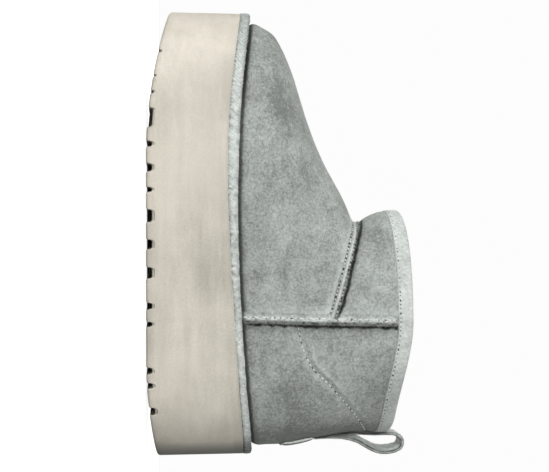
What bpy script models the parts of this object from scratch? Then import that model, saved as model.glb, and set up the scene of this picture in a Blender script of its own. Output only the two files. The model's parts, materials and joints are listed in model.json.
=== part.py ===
"""Left platform ankle boot: a moulded platform sole, a woven welt, an insole and a hollow suede upper.

Sizes are in millimetres in the boot's own directions: along runs from the heel end to the toe end,
across is positive on the outer side, up is the height above the floor. at() turns a point into the
scene's metres, where the toe points along -Y, the outer side is +X and the floor is Z = 0.
"""

from collections import namedtuple
from functools import lru_cache
import math

import bmesh
import bpy
import numpy as np

MM = 0.001

# Driving sizes
SOLE_LENGTH = 268.0
FOREFOOT_HEIGHT = 45.4
LOWEST_ALONG = 160.0
HEEL_LIFT, HEEL_LIFT_POWER = 12.1, 1.6
TOE_LIFT, TOE_LIFT_POWER = 9.8, 2.3
TOE_SPRING, TOE_SPRING_START, TOE_SPRING_POWER = 14.0, 182.0, 1.7
HEEL_BEVEL, HEEL_BEVEL_LENGTH, HEEL_BEVEL_POWER = 6.5, 56.0, 1.6
TREAD_DEPTH = 3.3
WELT_HEIGHT_HEEL, WELT_HEIGHT_TOE, WELT_CLEARANCE = 5.5, 6.9, 0.6
WALL = 2.6
GAP = 0.3
INSOLE_THICKNESS, INSOLE_ROUND = 5.0, 1.2
TOE_SWING, SWING_START, SWING_POWER = 9.0, 120.0, 1.6
ARCH_ALONG, ARCH_SPREAD = 110.0, 40.0

# Mesh steps
AROUND = 60
OUTLINE_STEPS = 88
OUTER_STEPS_PER_LEVEL = 2
QUARTER_STEPS = 80
NUDGE_U, NUDGE_V = 0.002, 0.02
SOLVE_STEPS = 40
SHARP_ANGLE = math.radians(40)

# Closed sections in plan: a round heel behind the heel station, a round toe ahead of the ball station,
# and an even run between the two half widths. The arch pinches the inner side.
Outline = namedtuple(
    "Outline", "back front heel heel_out heel_in ball ball_out ball_in back_power front_power arch")
SOLE_OUTLINE = Outline(0, SOLE_LENGTH, 64, 41.2, 39.2, 182, 51.0, 48.0, 2.4, 2.35, 0.07)

# The upper's levels from the sole to the collar. A level that follows the sole has its height from the
# sole's top; the others lie in planes that drop from the front to the back, as the throat seam does.
# With dip the level stays high along the sides and drops behind them, as the collar does.
Level = namedtuple("Level", ("name", "follow", "dip", "back_up", "front_up") + Outline._fields)
UPPER_LEVELS = [
    Level("feather", 1, 0, GAP, GAP, 6.8, 261.4, 68, 37.8, 35.8, 179, 45.0, 42.4, 2.40, 2.35, 0.06),
    Level("roll", 1, 0, 7.0, 7.0, 5.6, 262.2, 68, 38.5, 36.5, 179, 45.7, 43.1, 2.40, 2.35, 0.06),
    Level("toe_wall", 0, 0, 67.0, 73.5, 5.2, 258.0, 68, 38.6, 36.8, 174, 44.0, 41.9, 2.40, 2.30, 0.04),
    Level("toe_cap", 0, 0, 70.0, 81.0, 5.1, 249.2, 68, 38.4, 36.8, 166, 42.0, 40.3, 2.40, 2.20, 0.03),
    Level("vamp_low", 0, 0, 73.0, 89.0, 5.1, 230.0, 68, 38.3, 36.9, 150, 40.0, 38.7, 2.40, 2.10, 0.02),
    Level("vamp_middle", 0, 0, 76.0, 97.5, 5.1, 202.0, 68, 38.2, 37.0, 122, 38.6, 37.4, 2.38, 2.05, 0.01),
    Level("vamp_high", 0, 0, 79.0, 107.0, 5.2, 178.0, 69, 38.2, 37.1, 94, 38.3, 37.2, 2.35, 2.00, 0),
    Level("instep", 0, 0, 81.5, 117.5, 5.3, 159.0, 70, 38.3, 37.3, 79, 38.3, 37.3, 2.32, 2.00, 0),
    Level("throat", 0, 0, 84.0, 127.2, 5.5, 139.5, 71, 38.8, 37.8, 74, 38.8, 37.8, 2.28, 2.00, 0),
    Level("ankle", 0, 0.1, 100.0, 133.0, 8.2, 142.8, 74, 39.9, 38.9, 76, 39.9, 38.9, 2.22, 2.05, 0),
    Level("shaft", 0, 0.5, 122.0, 142.0, 11.6, 146.0, 77, 41.4, 40.6, 78, 41.4, 40.6, 2.15, 2.10, 0),
    Level("collar", 0, 1, 145.0, 152.0, 12.6, 146.5, 79, 43.0, 42.2, 80, 43.0, 42.2, 2.10, 2.10, 0),
]
LEVEL_INDEX = {level.name: float(i) for i, level in enumerate(UPPER_LEVELS)}
COLLAR_V = LEVEL_INDEX["collar"]
DIP_START, DIP_LENGTH = 0.10, 0.42

# Round edges of the sole's two ends, seen from the side: distance in from the end and height above the tread
END_ROUND = [(-3.0, 9.0), (0.0, 3.6), (1.3, 1.3)]
END_CLEAR = 4.0
TREAD_STEPS, TOP_STEPS = 40, 34

# Grooves across the tread, from the toe to the heel, and the round of one: share of the eased
# stretch beside each wall, and share of the depth
Groove = namedtuple("Groove", "along width")
GROOVE_EASE, GROOVE_CLEAR = 1.1, 1.2
GROOVE_ROUND = [(0.0, 0.0), (0.15, 0.7), (1.0, 1.0)]
GROOVES = [
    Groove(239.7, 3.6), Groove(214.0, 2.6), Groove(198.5, 11.0), Groove(183.5, 3.4), Groove(170.2, 4.6),
    Groove(157.8, 3.0), Groove(143.1, 7.2), Groove(127.0, 5.6), Groove(110.8, 6.6), Groove(91.9, 4.0),
    Groove(81.5, 3.0), Groove(54.9, 3.8), Groove(46.4, 3.4), Groove(31.4, 4.6),
]

# The welt's section: share of the way from the upper to the sole's edge, and share of its height
WELT_SECTION = [(0, 0), (0.74, 0), (0.94, 0.14), (1.03, 0.5), (0.94, 0.86), (0.74, 1), (0, 1)]

# Lapped seams: distance from the seam line onto the upper panel, and height above the suede
LapPoint = namedtuple("LapPoint", "aside lift")
LAP_GAP = 0.5
LAP_SECTION = [
    LapPoint(-1.2, LAP_GAP), LapPoint(-1.5, 1.6), LapPoint(-0.3, 2.6), LapPoint(2.0, 2.2),
    LapPoint(4.6, 1.0), LapPoint(4.8, LAP_GAP),
]
SIDE_SEAM_LOW, SIDE_SEAM_HIGH = 83.4, 80.6
THROAT_SEAM_RISE_FRONT, THROAT_SEAM_RISE_SIDE = 1.8, -1.6
SEAM_STEPS = 14
THROAT_SEAM_STEPS = 20

# Collar tape folded over the rim, and the round of its fold
TAPE = 1.1
BINDING_DROP, BINDING_DROP_INSIDE = 6.7, 6.2
FOLD_SHOULDER, FOLD_EDGE = 0.4, 0.2
FOLD_SIDE_TAPE, FOLD_TOP_TAPE = 0.9 * TAPE, 1.15 * TAPE

LOOP_TAPE, LOOP_WIDTH = 1.4, 13.0
LOOP_TOP = 155.8
# The loop's centre line from its sewn end up the back, round the top and down again
LoopPoint = namedtuple("LoopPoint", "behind up")
LOOP_PATH = [
    LoopPoint(1.1, 103.0), LoopPoint(1.1, 110.0), LoopPoint(1.1, 118.0), LoopPoint(1.4, 126.0),
    LoopPoint(2.2, 133.0), LoopPoint(2.9, 139.0), LoopPoint(3.1, 146.0), LoopPoint(3.6, 151.5),
    LoopPoint(5.8, 155.0), LoopPoint(8.8, LOOP_TOP), LoopPoint(11.6, 154.2), LoopPoint(13.4, 150.0),
    LoopPoint(13.8, 144.0), LoopPoint(12.6, 137.5), LoopPoint(9.6, 130.5), LoopPoint(6.0, 124.0),
    LoopPoint(3.6, 118.0), LoopPoint(2.9, 111.0), LoopPoint(2.8, 103.0),
]

PATCH_LOW, PATCH_HIGH = 80.0, 101.0
PATCH_WIDTH, PATCH_THICKNESS, PATCH_SQUARENESS = 25.0, 1.5, 5.0
PATCH_STEPS = 28
PATCH_RINGS = (0.5, 1.0)

SUEDE_GREY = (0.36, 0.37, 0.36)
SOLE_CREAM = (0.66, 0.60, 0.52)
TAPE_GREY = (0.55, 0.57, 0.56)
FLEECE_GREY = (0.62, 0.61, 0.58)


def at(along, across, up):
    """A point of the boot as scene coordinates in metres, with the sole's middle over the origin."""
    return (across * MM, (SOLE_LENGTH / 2 - along) * MM, up * MM)


def toe_swing(along):
    """How far the boot's middle line has moved to the inner side at a station."""
    share = np.clip((along - SWING_START) / (SOLE_LENGTH - SWING_START), 0, None)
    return -TOE_SWING * share ** SWING_POWER


def sole_top(along):
    """Height of the platform's top edge: lowest under the ball, rising to the heel and to the toe."""
    heelward = np.clip((LOWEST_ALONG - along) / LOWEST_ALONG, 0, None)
    toeward = np.clip((along - LOWEST_ALONG) / (SOLE_LENGTH - LOWEST_ALONG), 0, None)
    return FOREFOOT_HEIGHT + HEEL_LIFT * heelward ** HEEL_LIFT_POWER + TOE_LIFT * toeward ** TOE_LIFT_POWER


def welt_height(along):
    """The woven tape is a little taller at the toe than at the heel."""
    return WELT_HEIGHT_HEEL + (WELT_HEIGHT_TOE - WELT_HEIGHT_HEEL) * along / SOLE_LENGTH


def sole_bottom(along):
    """Height of the tread: flat from the heel to the ball, sprung at the toe and bevelled at the heel."""
    toeward = max(0.0, (along - TOE_SPRING_START) / (SOLE_LENGTH - TOE_SPRING_START))
    heelward = max(0.0, (HEEL_BEVEL_LENGTH - along) / HEEL_BEVEL_LENGTH)
    return TOE_SPRING * toeward ** TOE_SPRING_POWER + HEEL_BEVEL * heelward ** HEEL_BEVEL_POWER


def half_loop(shape, side):
    """Along and across of one side of a section, from its front point round to its back point."""
    heel_half, ball_half = (shape.heel_out, shape.ball_out) if side > 0 else (shape.heel_in, shape.ball_in)
    arch = 0 if side > 0 else shape.arch
    turn = np.linspace(0, math.pi / 2, QUARTER_STEPS + 1)
    reach, spread = np.cos(turn), np.sin(turn)
    run = np.linspace(0, 1, QUARTER_STEPS + 1)[1:-1]
    along = np.concatenate([
        shape.ball + (shape.front - shape.ball) * reach ** (2 / shape.front_power),
        shape.ball + (shape.heel - shape.ball) * run,
        shape.heel + (shape.back - shape.heel) * reach[::-1] ** (2 / shape.back_power)])
    half = np.concatenate([
        ball_half * spread ** (2 / shape.front_power),
        ball_half + (heel_half - ball_half) * run * run * (3 - 2 * run),
        heel_half * spread[::-1] ** (2 / shape.back_power)])
    half = half * (1 - arch * np.exp(-(((along - ARCH_ALONG) / ARCH_SPREAD) ** 2)))
    return along, toe_swing(along) + side * half


def along_half_loop(shape, side, share):
    """The plan point at a share of the half loop's length, 0 at the front and 1 at the back."""
    along, across = half_loop(shape, side)
    walked = np.concatenate([[0], np.cumsum(np.hypot(np.diff(along), np.diff(across)))])
    where = share * walked[-1]
    return np.interp(where, walked, along), np.interp(where, walked, across)


def round_loop(shape, u):
    """The plan point at u, which runs from the front over the outer side, the back and the inner side."""
    u = u % 1.0
    if u <= 0.5:
        return along_half_loop(shape, 1, 2 * u)
    return along_half_loop(shape, -1, 2 * (1 - u))


def smooth_slopes(values):
    """Slopes at evenly spaced rows that never overshoot a row."""
    steps = np.diff(values)
    before, after = steps[:-1], steps[1:]
    same_way = before * after > 0
    inner = np.where(same_way, 2 * before * after / np.where(same_way, before + after, 1), 0)
    return np.concatenate([[steps[0]], inner, [steps[-1]]])


LEVEL_VALUES = np.array([level[1:] for level in UPPER_LEVELS], float)
LEVEL_SLOPES = np.array([smooth_slopes(column) for column in LEVEL_VALUES.T]).T


@lru_cache(maxsize=None)
def level_at(v):
    """The upper's section at v, between the rows of the level table."""
    row = min(int(max(v, 0)), len(UPPER_LEVELS) - 2)
    t = v - row
    low, high = LEVEL_VALUES[row], LEVEL_VALUES[row + 1]
    rise, fall = LEVEL_SLOPES[row], LEVEL_SLOPES[row + 1]
    values = ((2 * t**3 - 3 * t**2 + 1) * low + (t**3 - 2 * t**2 + t) * rise
              + (3 * t**2 - 2 * t**3) * high + (t**3 - t**2) * fall)
    return Level("between", *values)


def plane_height(level, along):
    """Height of a level at a station, before what it follows of the sole."""
    share = (along - level.back) / (level.front - level.back)
    climb = np.clip((share - DIP_START) / DIP_LENGTH, 0, 1)
    share = share + level.dip * (climb * climb * (3 - 2 * climb) - share)
    return level.back_up + (level.front_up - level.back_up) * share


@lru_cache(maxsize=None)
def surface(u, v):
    """The upper's outer face: a point (along, across, up)."""
    level = level_at(v)
    along, across = round_loop(level, u)
    up = plane_height(level, along) + level.follow * sole_top(along)
    return np.array([along, across, up])


@lru_cache(maxsize=None)
def outward(u, v):
    """The upper's unit normal, away from the foot."""
    low, high = max(v - NUDGE_V, 0.0), min(v + NUDGE_V, COLLAR_V)
    around = surface(u + NUDGE_U, v) - surface(u - NUDGE_U, v)
    upward = surface(u, high) - surface(u, low)
    normal = np.cross(around, upward)
    return normal / np.linalg.norm(normal)


def raised(u, v, lift):
    """A point at a height above the upper's outer face."""
    return surface(u, v) + lift * outward(u, v)


def level_outward(u, v):
    """The upper's normal in plan."""
    flat = outward(u, v) * (1, 1, 0)
    return flat / np.linalg.norm(flat)


def solve(wanted, low, high):
    """Where a rising function reaches zero."""
    for _ in range(SOLVE_STEPS):
        middle = (low + high) / 2
        low, high = (middle, high) if wanted(middle) < 0 else (low, middle)
    return (low + high) / 2


def v_at_height(u, up):
    return solve(lambda v: surface(u, v)[2] - up, 0.0, COLLAR_V)


def u_at_station(along, v, side):
    """Where a level crosses a station along the boot, on one side."""
    share = solve(lambda s: along - surface(s if side > 0 else 1 - s, v)[0], 0.0, 0.5)
    return share if side > 0 else 1 - share


def u_per_mm(u, v):
    return 2 * NUDGE_U / np.linalg.norm(surface(u + NUDGE_U, v) - surface(u - NUDGE_U, v))


def v_per_mm(u, v):
    return 2 * NUDGE_V / np.linalg.norm(surface(u, v + NUDGE_V) - surface(u, v - NUDGE_V))


def clear_scene():
    for obj in list(bpy.data.objects):
        bpy.data.objects.remove(obj)


def material(name, colour, roughness):
    """A plain finish with the piece's colour."""
    made = bpy.data.materials.new(name)
    made.use_nodes = True
    shader = made.node_tree.nodes["Principled BSDF"]
    shader.inputs["Base Color"].default_value = (*colour, 1)
    shader.inputs["Roughness"].default_value = roughness
    shader.inputs["Metallic"].default_value = 0
    return made


def add_object(name, form, finish):
    """A named object from a bmesh, smooth on its round faces."""
    bmesh.ops.recalc_face_normals(form, faces=form.faces)
    mesh = bpy.data.meshes.new(name)
    form.to_mesh(mesh)
    form.free()
    mesh.shade_smooth()
    mesh.set_sharp_from_angle(angle=SHARP_ANGLE)
    if finish:
        mesh.materials.append(finish)
    obj = bpy.data.objects.new(name, mesh)
    bpy.context.scene.collection.objects.link(obj)
    return obj


def loft(name, rings, finish, round_section=False, capped=False):
    """A skin over rings of points: a tube, closed into a ring with round_section, or with capped ends."""
    form = bmesh.new()
    rows = [[form.verts.new(at(*point)) for point in ring] for ring in rings]
    pairs = list(zip(rows, rows[1:]))
    if round_section:
        pairs.append((rows[-1], rows[0]))
    for low, high in pairs:
        count = len(low)
        for i in range(count):
            j = (i + 1) % count
            form.faces.new((low[i], low[j], high[j], high[i]))
    if capped:
        form.faces.new(rows[0])
        form.faces.new(rows[-1])
    return add_object(name, form, finish)


def prism(name, corners, sweep):
    """A closed block from a flat outline of scene points, swept by a vector."""
    form = bmesh.new()
    face = form.faces.new([form.verts.new(corner) for corner in corners])
    grown = bmesh.ops.extrude_face_region(form, geom=[face])
    moved = [part for part in grown["geom"] if isinstance(part, bmesh.types.BMVert)]
    bmesh.ops.translate(form, verts=moved, vec=sweep)
    return add_object(name, form, None)


def groove_points(groove):
    """The tread's outline through one groove, from the heel side to the toe side."""
    half = groove.width / 2
    ease = min(GROOVE_EASE, half / 2)
    wall = [(share * ease - half, depth) for share, depth in GROOVE_ROUND]
    steps = wall + [(-aside, depth) for aside, depth in reversed(wall)]
    return [(groove.along + aside, sole_bottom(groove.along + aside) + TREAD_DEPTH * depth)
            for aside, depth in steps]


def sole_profile():
    """The sole's outline from the side: the tread from heel to toe, then the top edge back to the heel."""
    plain = [along for along in np.linspace(END_CLEAR, SOLE_LENGTH - END_CLEAR, TREAD_STEPS)
             if all(abs(along - groove.along) > groove.width / 2 + GROOVE_CLEAR for groove in GROOVES)]
    tread = [[(along, sole_bottom(along))] for along in plain] + [groove_points(groove) for groove in GROOVES]
    tread = [point for run in sorted(tread) for point in run]
    heel_end = [(inset, sole_bottom(max(inset, 0.0)) + lift) for inset, lift in END_ROUND]
    toe_end = [(SOLE_LENGTH - inset, sole_bottom(SOLE_LENGTH) + lift) for inset, lift in reversed(END_ROUND)]
    beyond = -END_ROUND[0][0]
    top = [(along, float(sole_top(along))) for along in np.linspace(SOLE_LENGTH + beyond, -beyond, TOP_STEPS)]
    return heel_end + tread + toe_end + top


def build_sole(finish):
    """The platform: its outline in plan, cut to its outline from the side."""
    block_low, block_high, block_half = -10.0, 90.0, 90.0
    rim = [round_loop(SOLE_OUTLINE, i / OUTLINE_STEPS) for i in range(OUTLINE_STEPS)]
    sole = prism("sole", [at(along, across, block_low) for along, across in rim],
                 (0, 0, (block_high - block_low) * MM))
    sole.data.materials.append(finish)
    side_view = prism("sole_side_view", [at(along, -block_half, up) for along, up in sole_profile()],
                      (2 * block_half * MM, 0, 0))
    side_view.hide_render = True
    side_view.display_type = "WIRE"
    cut = sole.modifiers.new("side_view", "BOOLEAN")
    cut.operation = "INTERSECT"
    cut.object = side_view
    return sole


def build_welt(finish):
    """The woven tape round the sole's edge, between the platform and the upper."""
    roll_v = LEVEL_INDEX["roll"]
    rings = []
    for share, height in WELT_SECTION:
        ring = []
        for i in range(OUTLINE_STEPS):
            u = i / OUTLINE_STEPS
            inner = surface(u, roll_v * height)
            inner = inner + WELT_CLEARANCE * level_outward(u, roll_v * height)
            outer = np.array(round_loop(SOLE_OUTLINE, u))
            along, across = inner[:2] + (outer - inner[:2]) * share
            ring.append((along, across, sole_top(along) + GAP + welt_height(along) * height))
        rings.append(ring)
    return loft("welt", rings, finish, round_section=True)


def build_upper(finish):
    """The upper's wall: its outer face up to the collar, over the rim and down its inner face."""
    spots = [i / AROUND for i in range(AROUND)]
    levels = len(UPPER_LEVELS) - 1
    rings = []
    for v in np.linspace(0, levels, levels * OUTER_STEPS_PER_LEVEL + 1):
        rings.append([surface(u, float(v)) for u in spots])
    for v in np.linspace(levels, 0, levels + 1):
        ring = [raised(u, float(v), -WALL) for u in spots]
        if v == levels:
            ring = [(along, across, surface(u, v)[2]) for u, (along, across, up) in zip(spots, ring)]
        if v == 0:
            ring = [(along, across, sole_top(along) + GAP) for along, across, up in ring]
        rings.append(ring)
    return loft("upper", rings, finish, round_section=True)


def build_insole(finish):
    """The footbed inside the upper, on the platform."""
    form = bmesh.new()
    spots = [i / AROUND for i in range(AROUND)]
    top = GAP + INSOLE_THICKNESS
    rows = []
    for inset, lift in ((0, GAP), (0, top - INSOLE_ROUND), (INSOLE_ROUND, top)):
        row = []
        for u in spots:
            along, across, _ = surface(u, 0.0) - (WALL + 2 * GAP + inset) * level_outward(u, 0.0)
            row.append(form.verts.new(at(along, across, sole_top(along) + lift)))
        rows.append(row)
    for low, high in zip(rows, rows[1:]):
        for i in range(AROUND):
            j = (i + 1) % AROUND
            form.faces.new((low[i], low[j], high[j], high[i]))
    for row in (rows[0], rows[-1]):
        for i in range(AROUND // 2):
            rung = [row[i], row[i + 1], row[-i - 1], row[-i % AROUND]]
            form.faces.new(list(dict.fromkeys(rung)))
    return add_object("insole", form, finish)


def build_side_seam(name, side, finish):
    """The lapped seam up one side: the front panel's edge lies over the back panel."""
    low_up = sole_top(SIDE_SEAM_LOW) + welt_height(SIDE_SEAM_LOW) + 3 * GAP
    low = v_at_height(u_at_station(SIDE_SEAM_LOW, LEVEL_INDEX["roll"], side), low_up)
    high_up = binding_edge(SIDE_SEAM_HIGH) - 2 * GAP
    high = v_at_height(u_at_station(SIDE_SEAM_HIGH, COLLAR_V, side), high_up)
    rings = []
    for v in np.linspace(low, high, SEAM_STEPS + 1):
        v = float(v)
        line = side_seam_station(v)
        rings.append([raised(u_at_station(line + p.aside, v, side), v, p.lift) for p in LAP_SECTION])
    return loft(name, rings, finish, capped=True)


def side_seam_station(v):
    """The side seams lean a little to the heel on their way up."""
    return SIDE_SEAM_LOW + (SIDE_SEAM_HIGH - SIDE_SEAM_LOW) * v / COLLAR_V


def binding_edge(along):
    """Height of the collar tape's lower edge on the outside."""
    return plane_height(UPPER_LEVELS[-1], along) - BINDING_DROP


def build_throat_seam(finish):
    """The lapped seam over the instep, from one side seam to the other: the vamp's edge lies over the shaft."""
    v = LEVEL_INDEX["throat"]
    clear = side_seam_station(v) + LAP_SECTION[-1].aside + 2 * GAP
    start = u_at_station(clear, v, -1) - 1
    end = u_at_station(clear, v, 1)
    rings = []
    for u in np.linspace(start, end, THROAT_SEAM_STEPS + 1):
        u = float(u)
        sideways = abs(u) / max(-start, end)
        rise = THROAT_SEAM_RISE_FRONT + (THROAT_SEAM_RISE_SIDE - THROAT_SEAM_RISE_FRONT) * sideways
        per_mm = v_per_mm(u, v)
        rings.append([raised(u, v + (rise - p.aside) * per_mm, p.lift) for p in LAP_SECTION])
    return loft("throat_seam", rings, finish, capped=True)


def build_binding(finish):
    """The tape folded over the collar's rim, as a U round the wall."""
    outer, inner = GAP + TAPE, -WALL - GAP - TAPE
    outside = [(outer, -BINDING_DROP), (outer, -FOLD_SHOULDER), (FOLD_EDGE, GAP + FOLD_SIDE_TAPE)]
    top = [(-WALL / 2, GAP + FOLD_TOP_TAPE)]
    inside = [(-WALL - FOLD_EDGE, GAP + FOLD_SIDE_TAPE), (inner, -FOLD_SHOULDER), (inner, -BINDING_DROP_INSIDE)]
    against = [(-WALL - GAP, -BINDING_DROP_INSIDE), (-WALL - GAP, GAP), (GAP, GAP), (GAP, -BINDING_DROP)]
    rings = []
    for lift, rise in outside + top + inside + against:
        ring = []
        for i in range(AROUND):
            u = i / AROUND
            rim = surface(u, COLLAR_V)
            v = v_at_height(u, rim[2] + rise) if rise < 0 else COLLAR_V
            along, across, up = surface(u, v) + lift * level_outward(u, v)
            ring.append((along, across, rim[2] + rise))
        rings.append(ring)
    return loft("collar_binding", rings, finish, round_section=True)


def build_pull_loop(finish):
    """The tape loop sewn to the back: a flat strip bent into a hairpin."""
    collar_back = UPPER_LEVELS[-1].back
    line = []
    for point in LOOP_PATH:
        back = collar_back
        if point.up < UPPER_LEVELS[-1].back_up:
            back = surface(0.5, v_at_height(0.5, point.up))[0]
        line.append((back - point.behind, point.up))
    line = np.array(line)
    ahead = np.gradient(line, axis=0)
    ahead /= np.linalg.norm(ahead, axis=1)[:, None]
    aside = np.stack([-ahead[:, 1], ahead[:, 0]], axis=1)
    rings = []
    for (along, up), (side_along, side_up) in zip(line, aside):
        ring = []
        for share, across in ((-0.5, -0.5), (0.5, -0.5), (0.5, 0.5), (-0.5, 0.5)):
            lift = share * LOOP_TAPE
            ring.append((along + lift * side_along, across * LOOP_WIDTH, up + lift * side_up))
        rings.append(ring)
    return loft("pull_loop", rings, finish, capped=True)


def build_heel_patch(finish):
    """A plain patch with round corners on the back of the heel."""
    middle_v = v_at_height(0.5, (PATCH_LOW + PATCH_HIGH) / 2)
    per_mm = u_per_mm(0.5, middle_v)
    form = bmesh.new()
    sides = []
    for lift in (GAP, GAP + PATCH_THICKNESS):
        rings = []
        for share in PATCH_RINGS:
            ring = []
            for i in range(PATCH_STEPS):
                turn = 2 * math.pi * i / PATCH_STEPS
                reach = (abs(math.cos(turn)) ** PATCH_SQUARENESS + abs(math.sin(turn)) ** PATCH_SQUARENESS)
                reach = share * reach ** (-1 / PATCH_SQUARENESS)
                u = 0.5 + math.cos(turn) * reach * PATCH_WIDTH / 2 * per_mm
                up = (PATCH_LOW + PATCH_HIGH) / 2 + math.sin(turn) * reach * (PATCH_HIGH - PATCH_LOW) / 2
                ring.append(form.verts.new(at(*raised(u, v_at_height(u, up), lift))))
            rings.append(ring)
        centre = form.verts.new(at(*raised(0.5, middle_v, lift)))
        sides.append((centre, rings))
    for centre, rings in sides:
        for i in range(PATCH_STEPS):
            j = (i + 1) % PATCH_STEPS
            form.faces.new((centre, rings[0][i], rings[0][j]))
            form.faces.new((rings[0][i], rings[0][j], rings[1][j], rings[1][i]))
    (_, under), (_, over) = sides
    for i in range(PATCH_STEPS):
        j = (i + 1) % PATCH_STEPS
        form.faces.new((under[1][i], under[1][j], over[1][j], over[1][i]))
    return add_object("heel_patch", form, finish)


def main():
    clear_scene()
    suede = material("suede", SUEDE_GREY, 0.95)
    foam = material("platform_foam", SOLE_CREAM, 0.6)
    tape = material("woven_tape", TAPE_GREY, 0.9)
    fleece = material("fleece", FLEECE_GREY, 1.0)
    build_sole(foam)
    build_welt(tape)
    build_insole(fleece)
    build_upper(suede)
    build_side_seam("side_seam_outer", 1, suede)
    build_side_seam("side_seam_inner", -1, suede)
    build_throat_seam(suede)
    build_binding(tape)
    build_pull_loop(tape)
    build_heel_patch(suede)


main()
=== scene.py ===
"""Looks of a left platform ankle boot: suede upper, woven welt, foam platform, fleece and stitches.

Sizes in the tables are millimetres in the boot's own directions, as in the part's source: along runs from
the heel end to the toe end, across is positive on the outer side, up is the height above the floor.
On the upper, u runs round the boot from the toe over the outer side and v runs from the sole to the collar.
"""

from collections import namedtuple
from itertools import product
import json
import math

import bmesh
import bpy
from mathutils import Matrix, Vector
import numpy as np

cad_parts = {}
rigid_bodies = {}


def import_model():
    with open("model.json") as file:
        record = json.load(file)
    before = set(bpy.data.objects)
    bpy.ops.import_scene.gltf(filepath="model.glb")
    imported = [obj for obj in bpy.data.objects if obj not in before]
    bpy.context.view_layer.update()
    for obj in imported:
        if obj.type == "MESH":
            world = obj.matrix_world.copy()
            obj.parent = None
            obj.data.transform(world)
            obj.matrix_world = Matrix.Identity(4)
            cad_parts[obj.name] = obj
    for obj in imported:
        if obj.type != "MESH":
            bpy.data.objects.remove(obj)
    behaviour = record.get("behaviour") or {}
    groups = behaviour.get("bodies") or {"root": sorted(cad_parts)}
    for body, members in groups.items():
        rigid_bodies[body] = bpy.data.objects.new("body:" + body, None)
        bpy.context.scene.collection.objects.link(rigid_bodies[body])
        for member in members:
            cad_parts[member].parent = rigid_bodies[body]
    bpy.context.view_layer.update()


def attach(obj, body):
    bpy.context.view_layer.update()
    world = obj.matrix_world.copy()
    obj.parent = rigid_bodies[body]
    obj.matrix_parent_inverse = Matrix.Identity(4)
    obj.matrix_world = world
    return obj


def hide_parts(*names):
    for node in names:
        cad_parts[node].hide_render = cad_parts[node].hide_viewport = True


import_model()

bl_info = {
    "name": "Platform ankle boot looks",
    "version": (1, 0, 0),
    "blender": (4, 5, 0),
    "location": "View3D > Sidebar > Boot",
    "description": "Dresses the packed platform boot with suede, foam, woven tape, fleece and stitches",
    "category": "Object",
}

MM = 0.001
BODY = "root"

# Sizes of the boot. The main form is the part's own; the welt, throat seam, loop, patch width and toe
# grooves are drawn a little finer here
SOLE_LENGTH = 268.0
FOREFOOT_HEIGHT = 45.4
LOWEST_ALONG = 160.0
HEEL_LIFT, HEEL_LIFT_POWER = 12.1, 1.6
TOE_LIFT, TOE_LIFT_POWER = 9.8, 2.3
TOE_SPRING, TOE_SPRING_START, TOE_SPRING_POWER = 14.0, 182.0, 1.7
HEEL_BEVEL, HEEL_BEVEL_LENGTH, HEEL_BEVEL_POWER = 6.5, 56.0, 1.6
TREAD_DEPTH = 3.3
WELT_CLEARANCE, WELT_SETTLED = 0.6, 0.7
WELT_MIDDLE, WELT_REACH, WELT_CREST = 0.68, 0.35, 0.95
WELT_FIRST_TURN, WELT_LAST_TURN = -90, 150
WELT_UNDERSIDE, WELT_VALLEY = (0.0, 0.25, 0.5), [(0.28, 0.40), (0.14, 0.35), (0.0, 0.35)]
WALL = 2.6
GAP = 0.3
INSOLE_THICKNESS = 5.0
TOE_SWING, SWING_START, SWING_POWER = 9.0, 120.0, 1.6
ARCH_ALONG, ARCH_SPREAD = 110.0, 40.0
QUARTER_STEPS = 320

Outline = namedtuple(
    "Outline", "back front heel heel_out heel_in ball ball_out ball_in back_power front_power arch")
SOLE_OUTLINE = Outline(0, SOLE_LENGTH, 64, 41.2, 39.2, 182, 51.0, 48.0, 2.4, 2.35, 0.07)

Level = namedtuple("Level", ("name", "follow", "dip", "back_up", "front_up") + Outline._fields)
UPPER_LEVELS = [
    Level("feather", 1, 0, GAP, GAP, 6.8, 261.4, 68, 37.8, 35.8, 179, 45.0, 42.4, 2.40, 2.35, 0.06),
    Level("roll", 1, 0, 7.0, 7.0, 5.6, 262.2, 68, 38.5, 36.5, 179, 45.7, 43.1, 2.40, 2.35, 0.06),
    Level("toe_wall", 0, 0, 67.0, 73.5, 5.2, 258.0, 68, 38.6, 36.8, 174, 44.0, 41.9, 2.40, 2.30, 0.04),
    Level("toe_cap", 0, 0, 70.0, 81.0, 5.1, 249.2, 68, 38.4, 36.8, 166, 42.0, 40.3, 2.40, 2.20, 0.03),
    Level("vamp_low", 0, 0, 73.0, 89.0, 5.1, 230.0, 68, 38.3, 36.9, 150, 40.0, 38.7, 2.40, 2.10, 0.02),
    Level("vamp_middle", 0, 0, 76.0, 97.5, 5.1, 202.0, 68, 38.2, 37.0, 122, 38.6, 37.4, 2.38, 2.05, 0.01),
    Level("vamp_high", 0, 0, 79.0, 107.0, 5.2, 178.0, 69, 38.2, 37.1, 94, 38.3, 37.2, 2.35, 2.00, 0),
    Level("instep", 0, 0, 81.5, 117.5, 5.3, 159.0, 70, 38.3, 37.3, 79, 38.3, 37.3, 2.32, 2.00, 0),
    Level("throat", 0, 0, 84.0, 127.2, 5.5, 139.5, 71, 38.8, 37.8, 74, 38.8, 37.8, 2.28, 2.00, 0),
    Level("ankle", 0, 0.1, 100.0, 133.0, 8.2, 142.8, 74, 39.9, 38.9, 76, 39.9, 38.9, 2.22, 2.05, 0),
    Level("shaft", 0, 0.5, 122.0, 142.0, 11.6, 146.0, 77, 41.4, 40.6, 78, 41.4, 40.6, 2.15, 2.10, 0),
    Level("collar", 0, 1, 145.0, 152.0, 12.6, 146.5, 79, 43.0, 42.2, 80, 43.0, 42.2, 2.10, 2.10, 0),
]
LEVEL_INDEX = {level.name: float(i) for i, level in enumerate(UPPER_LEVELS)}
COLLAR_V = LEVEL_INDEX["collar"]
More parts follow.
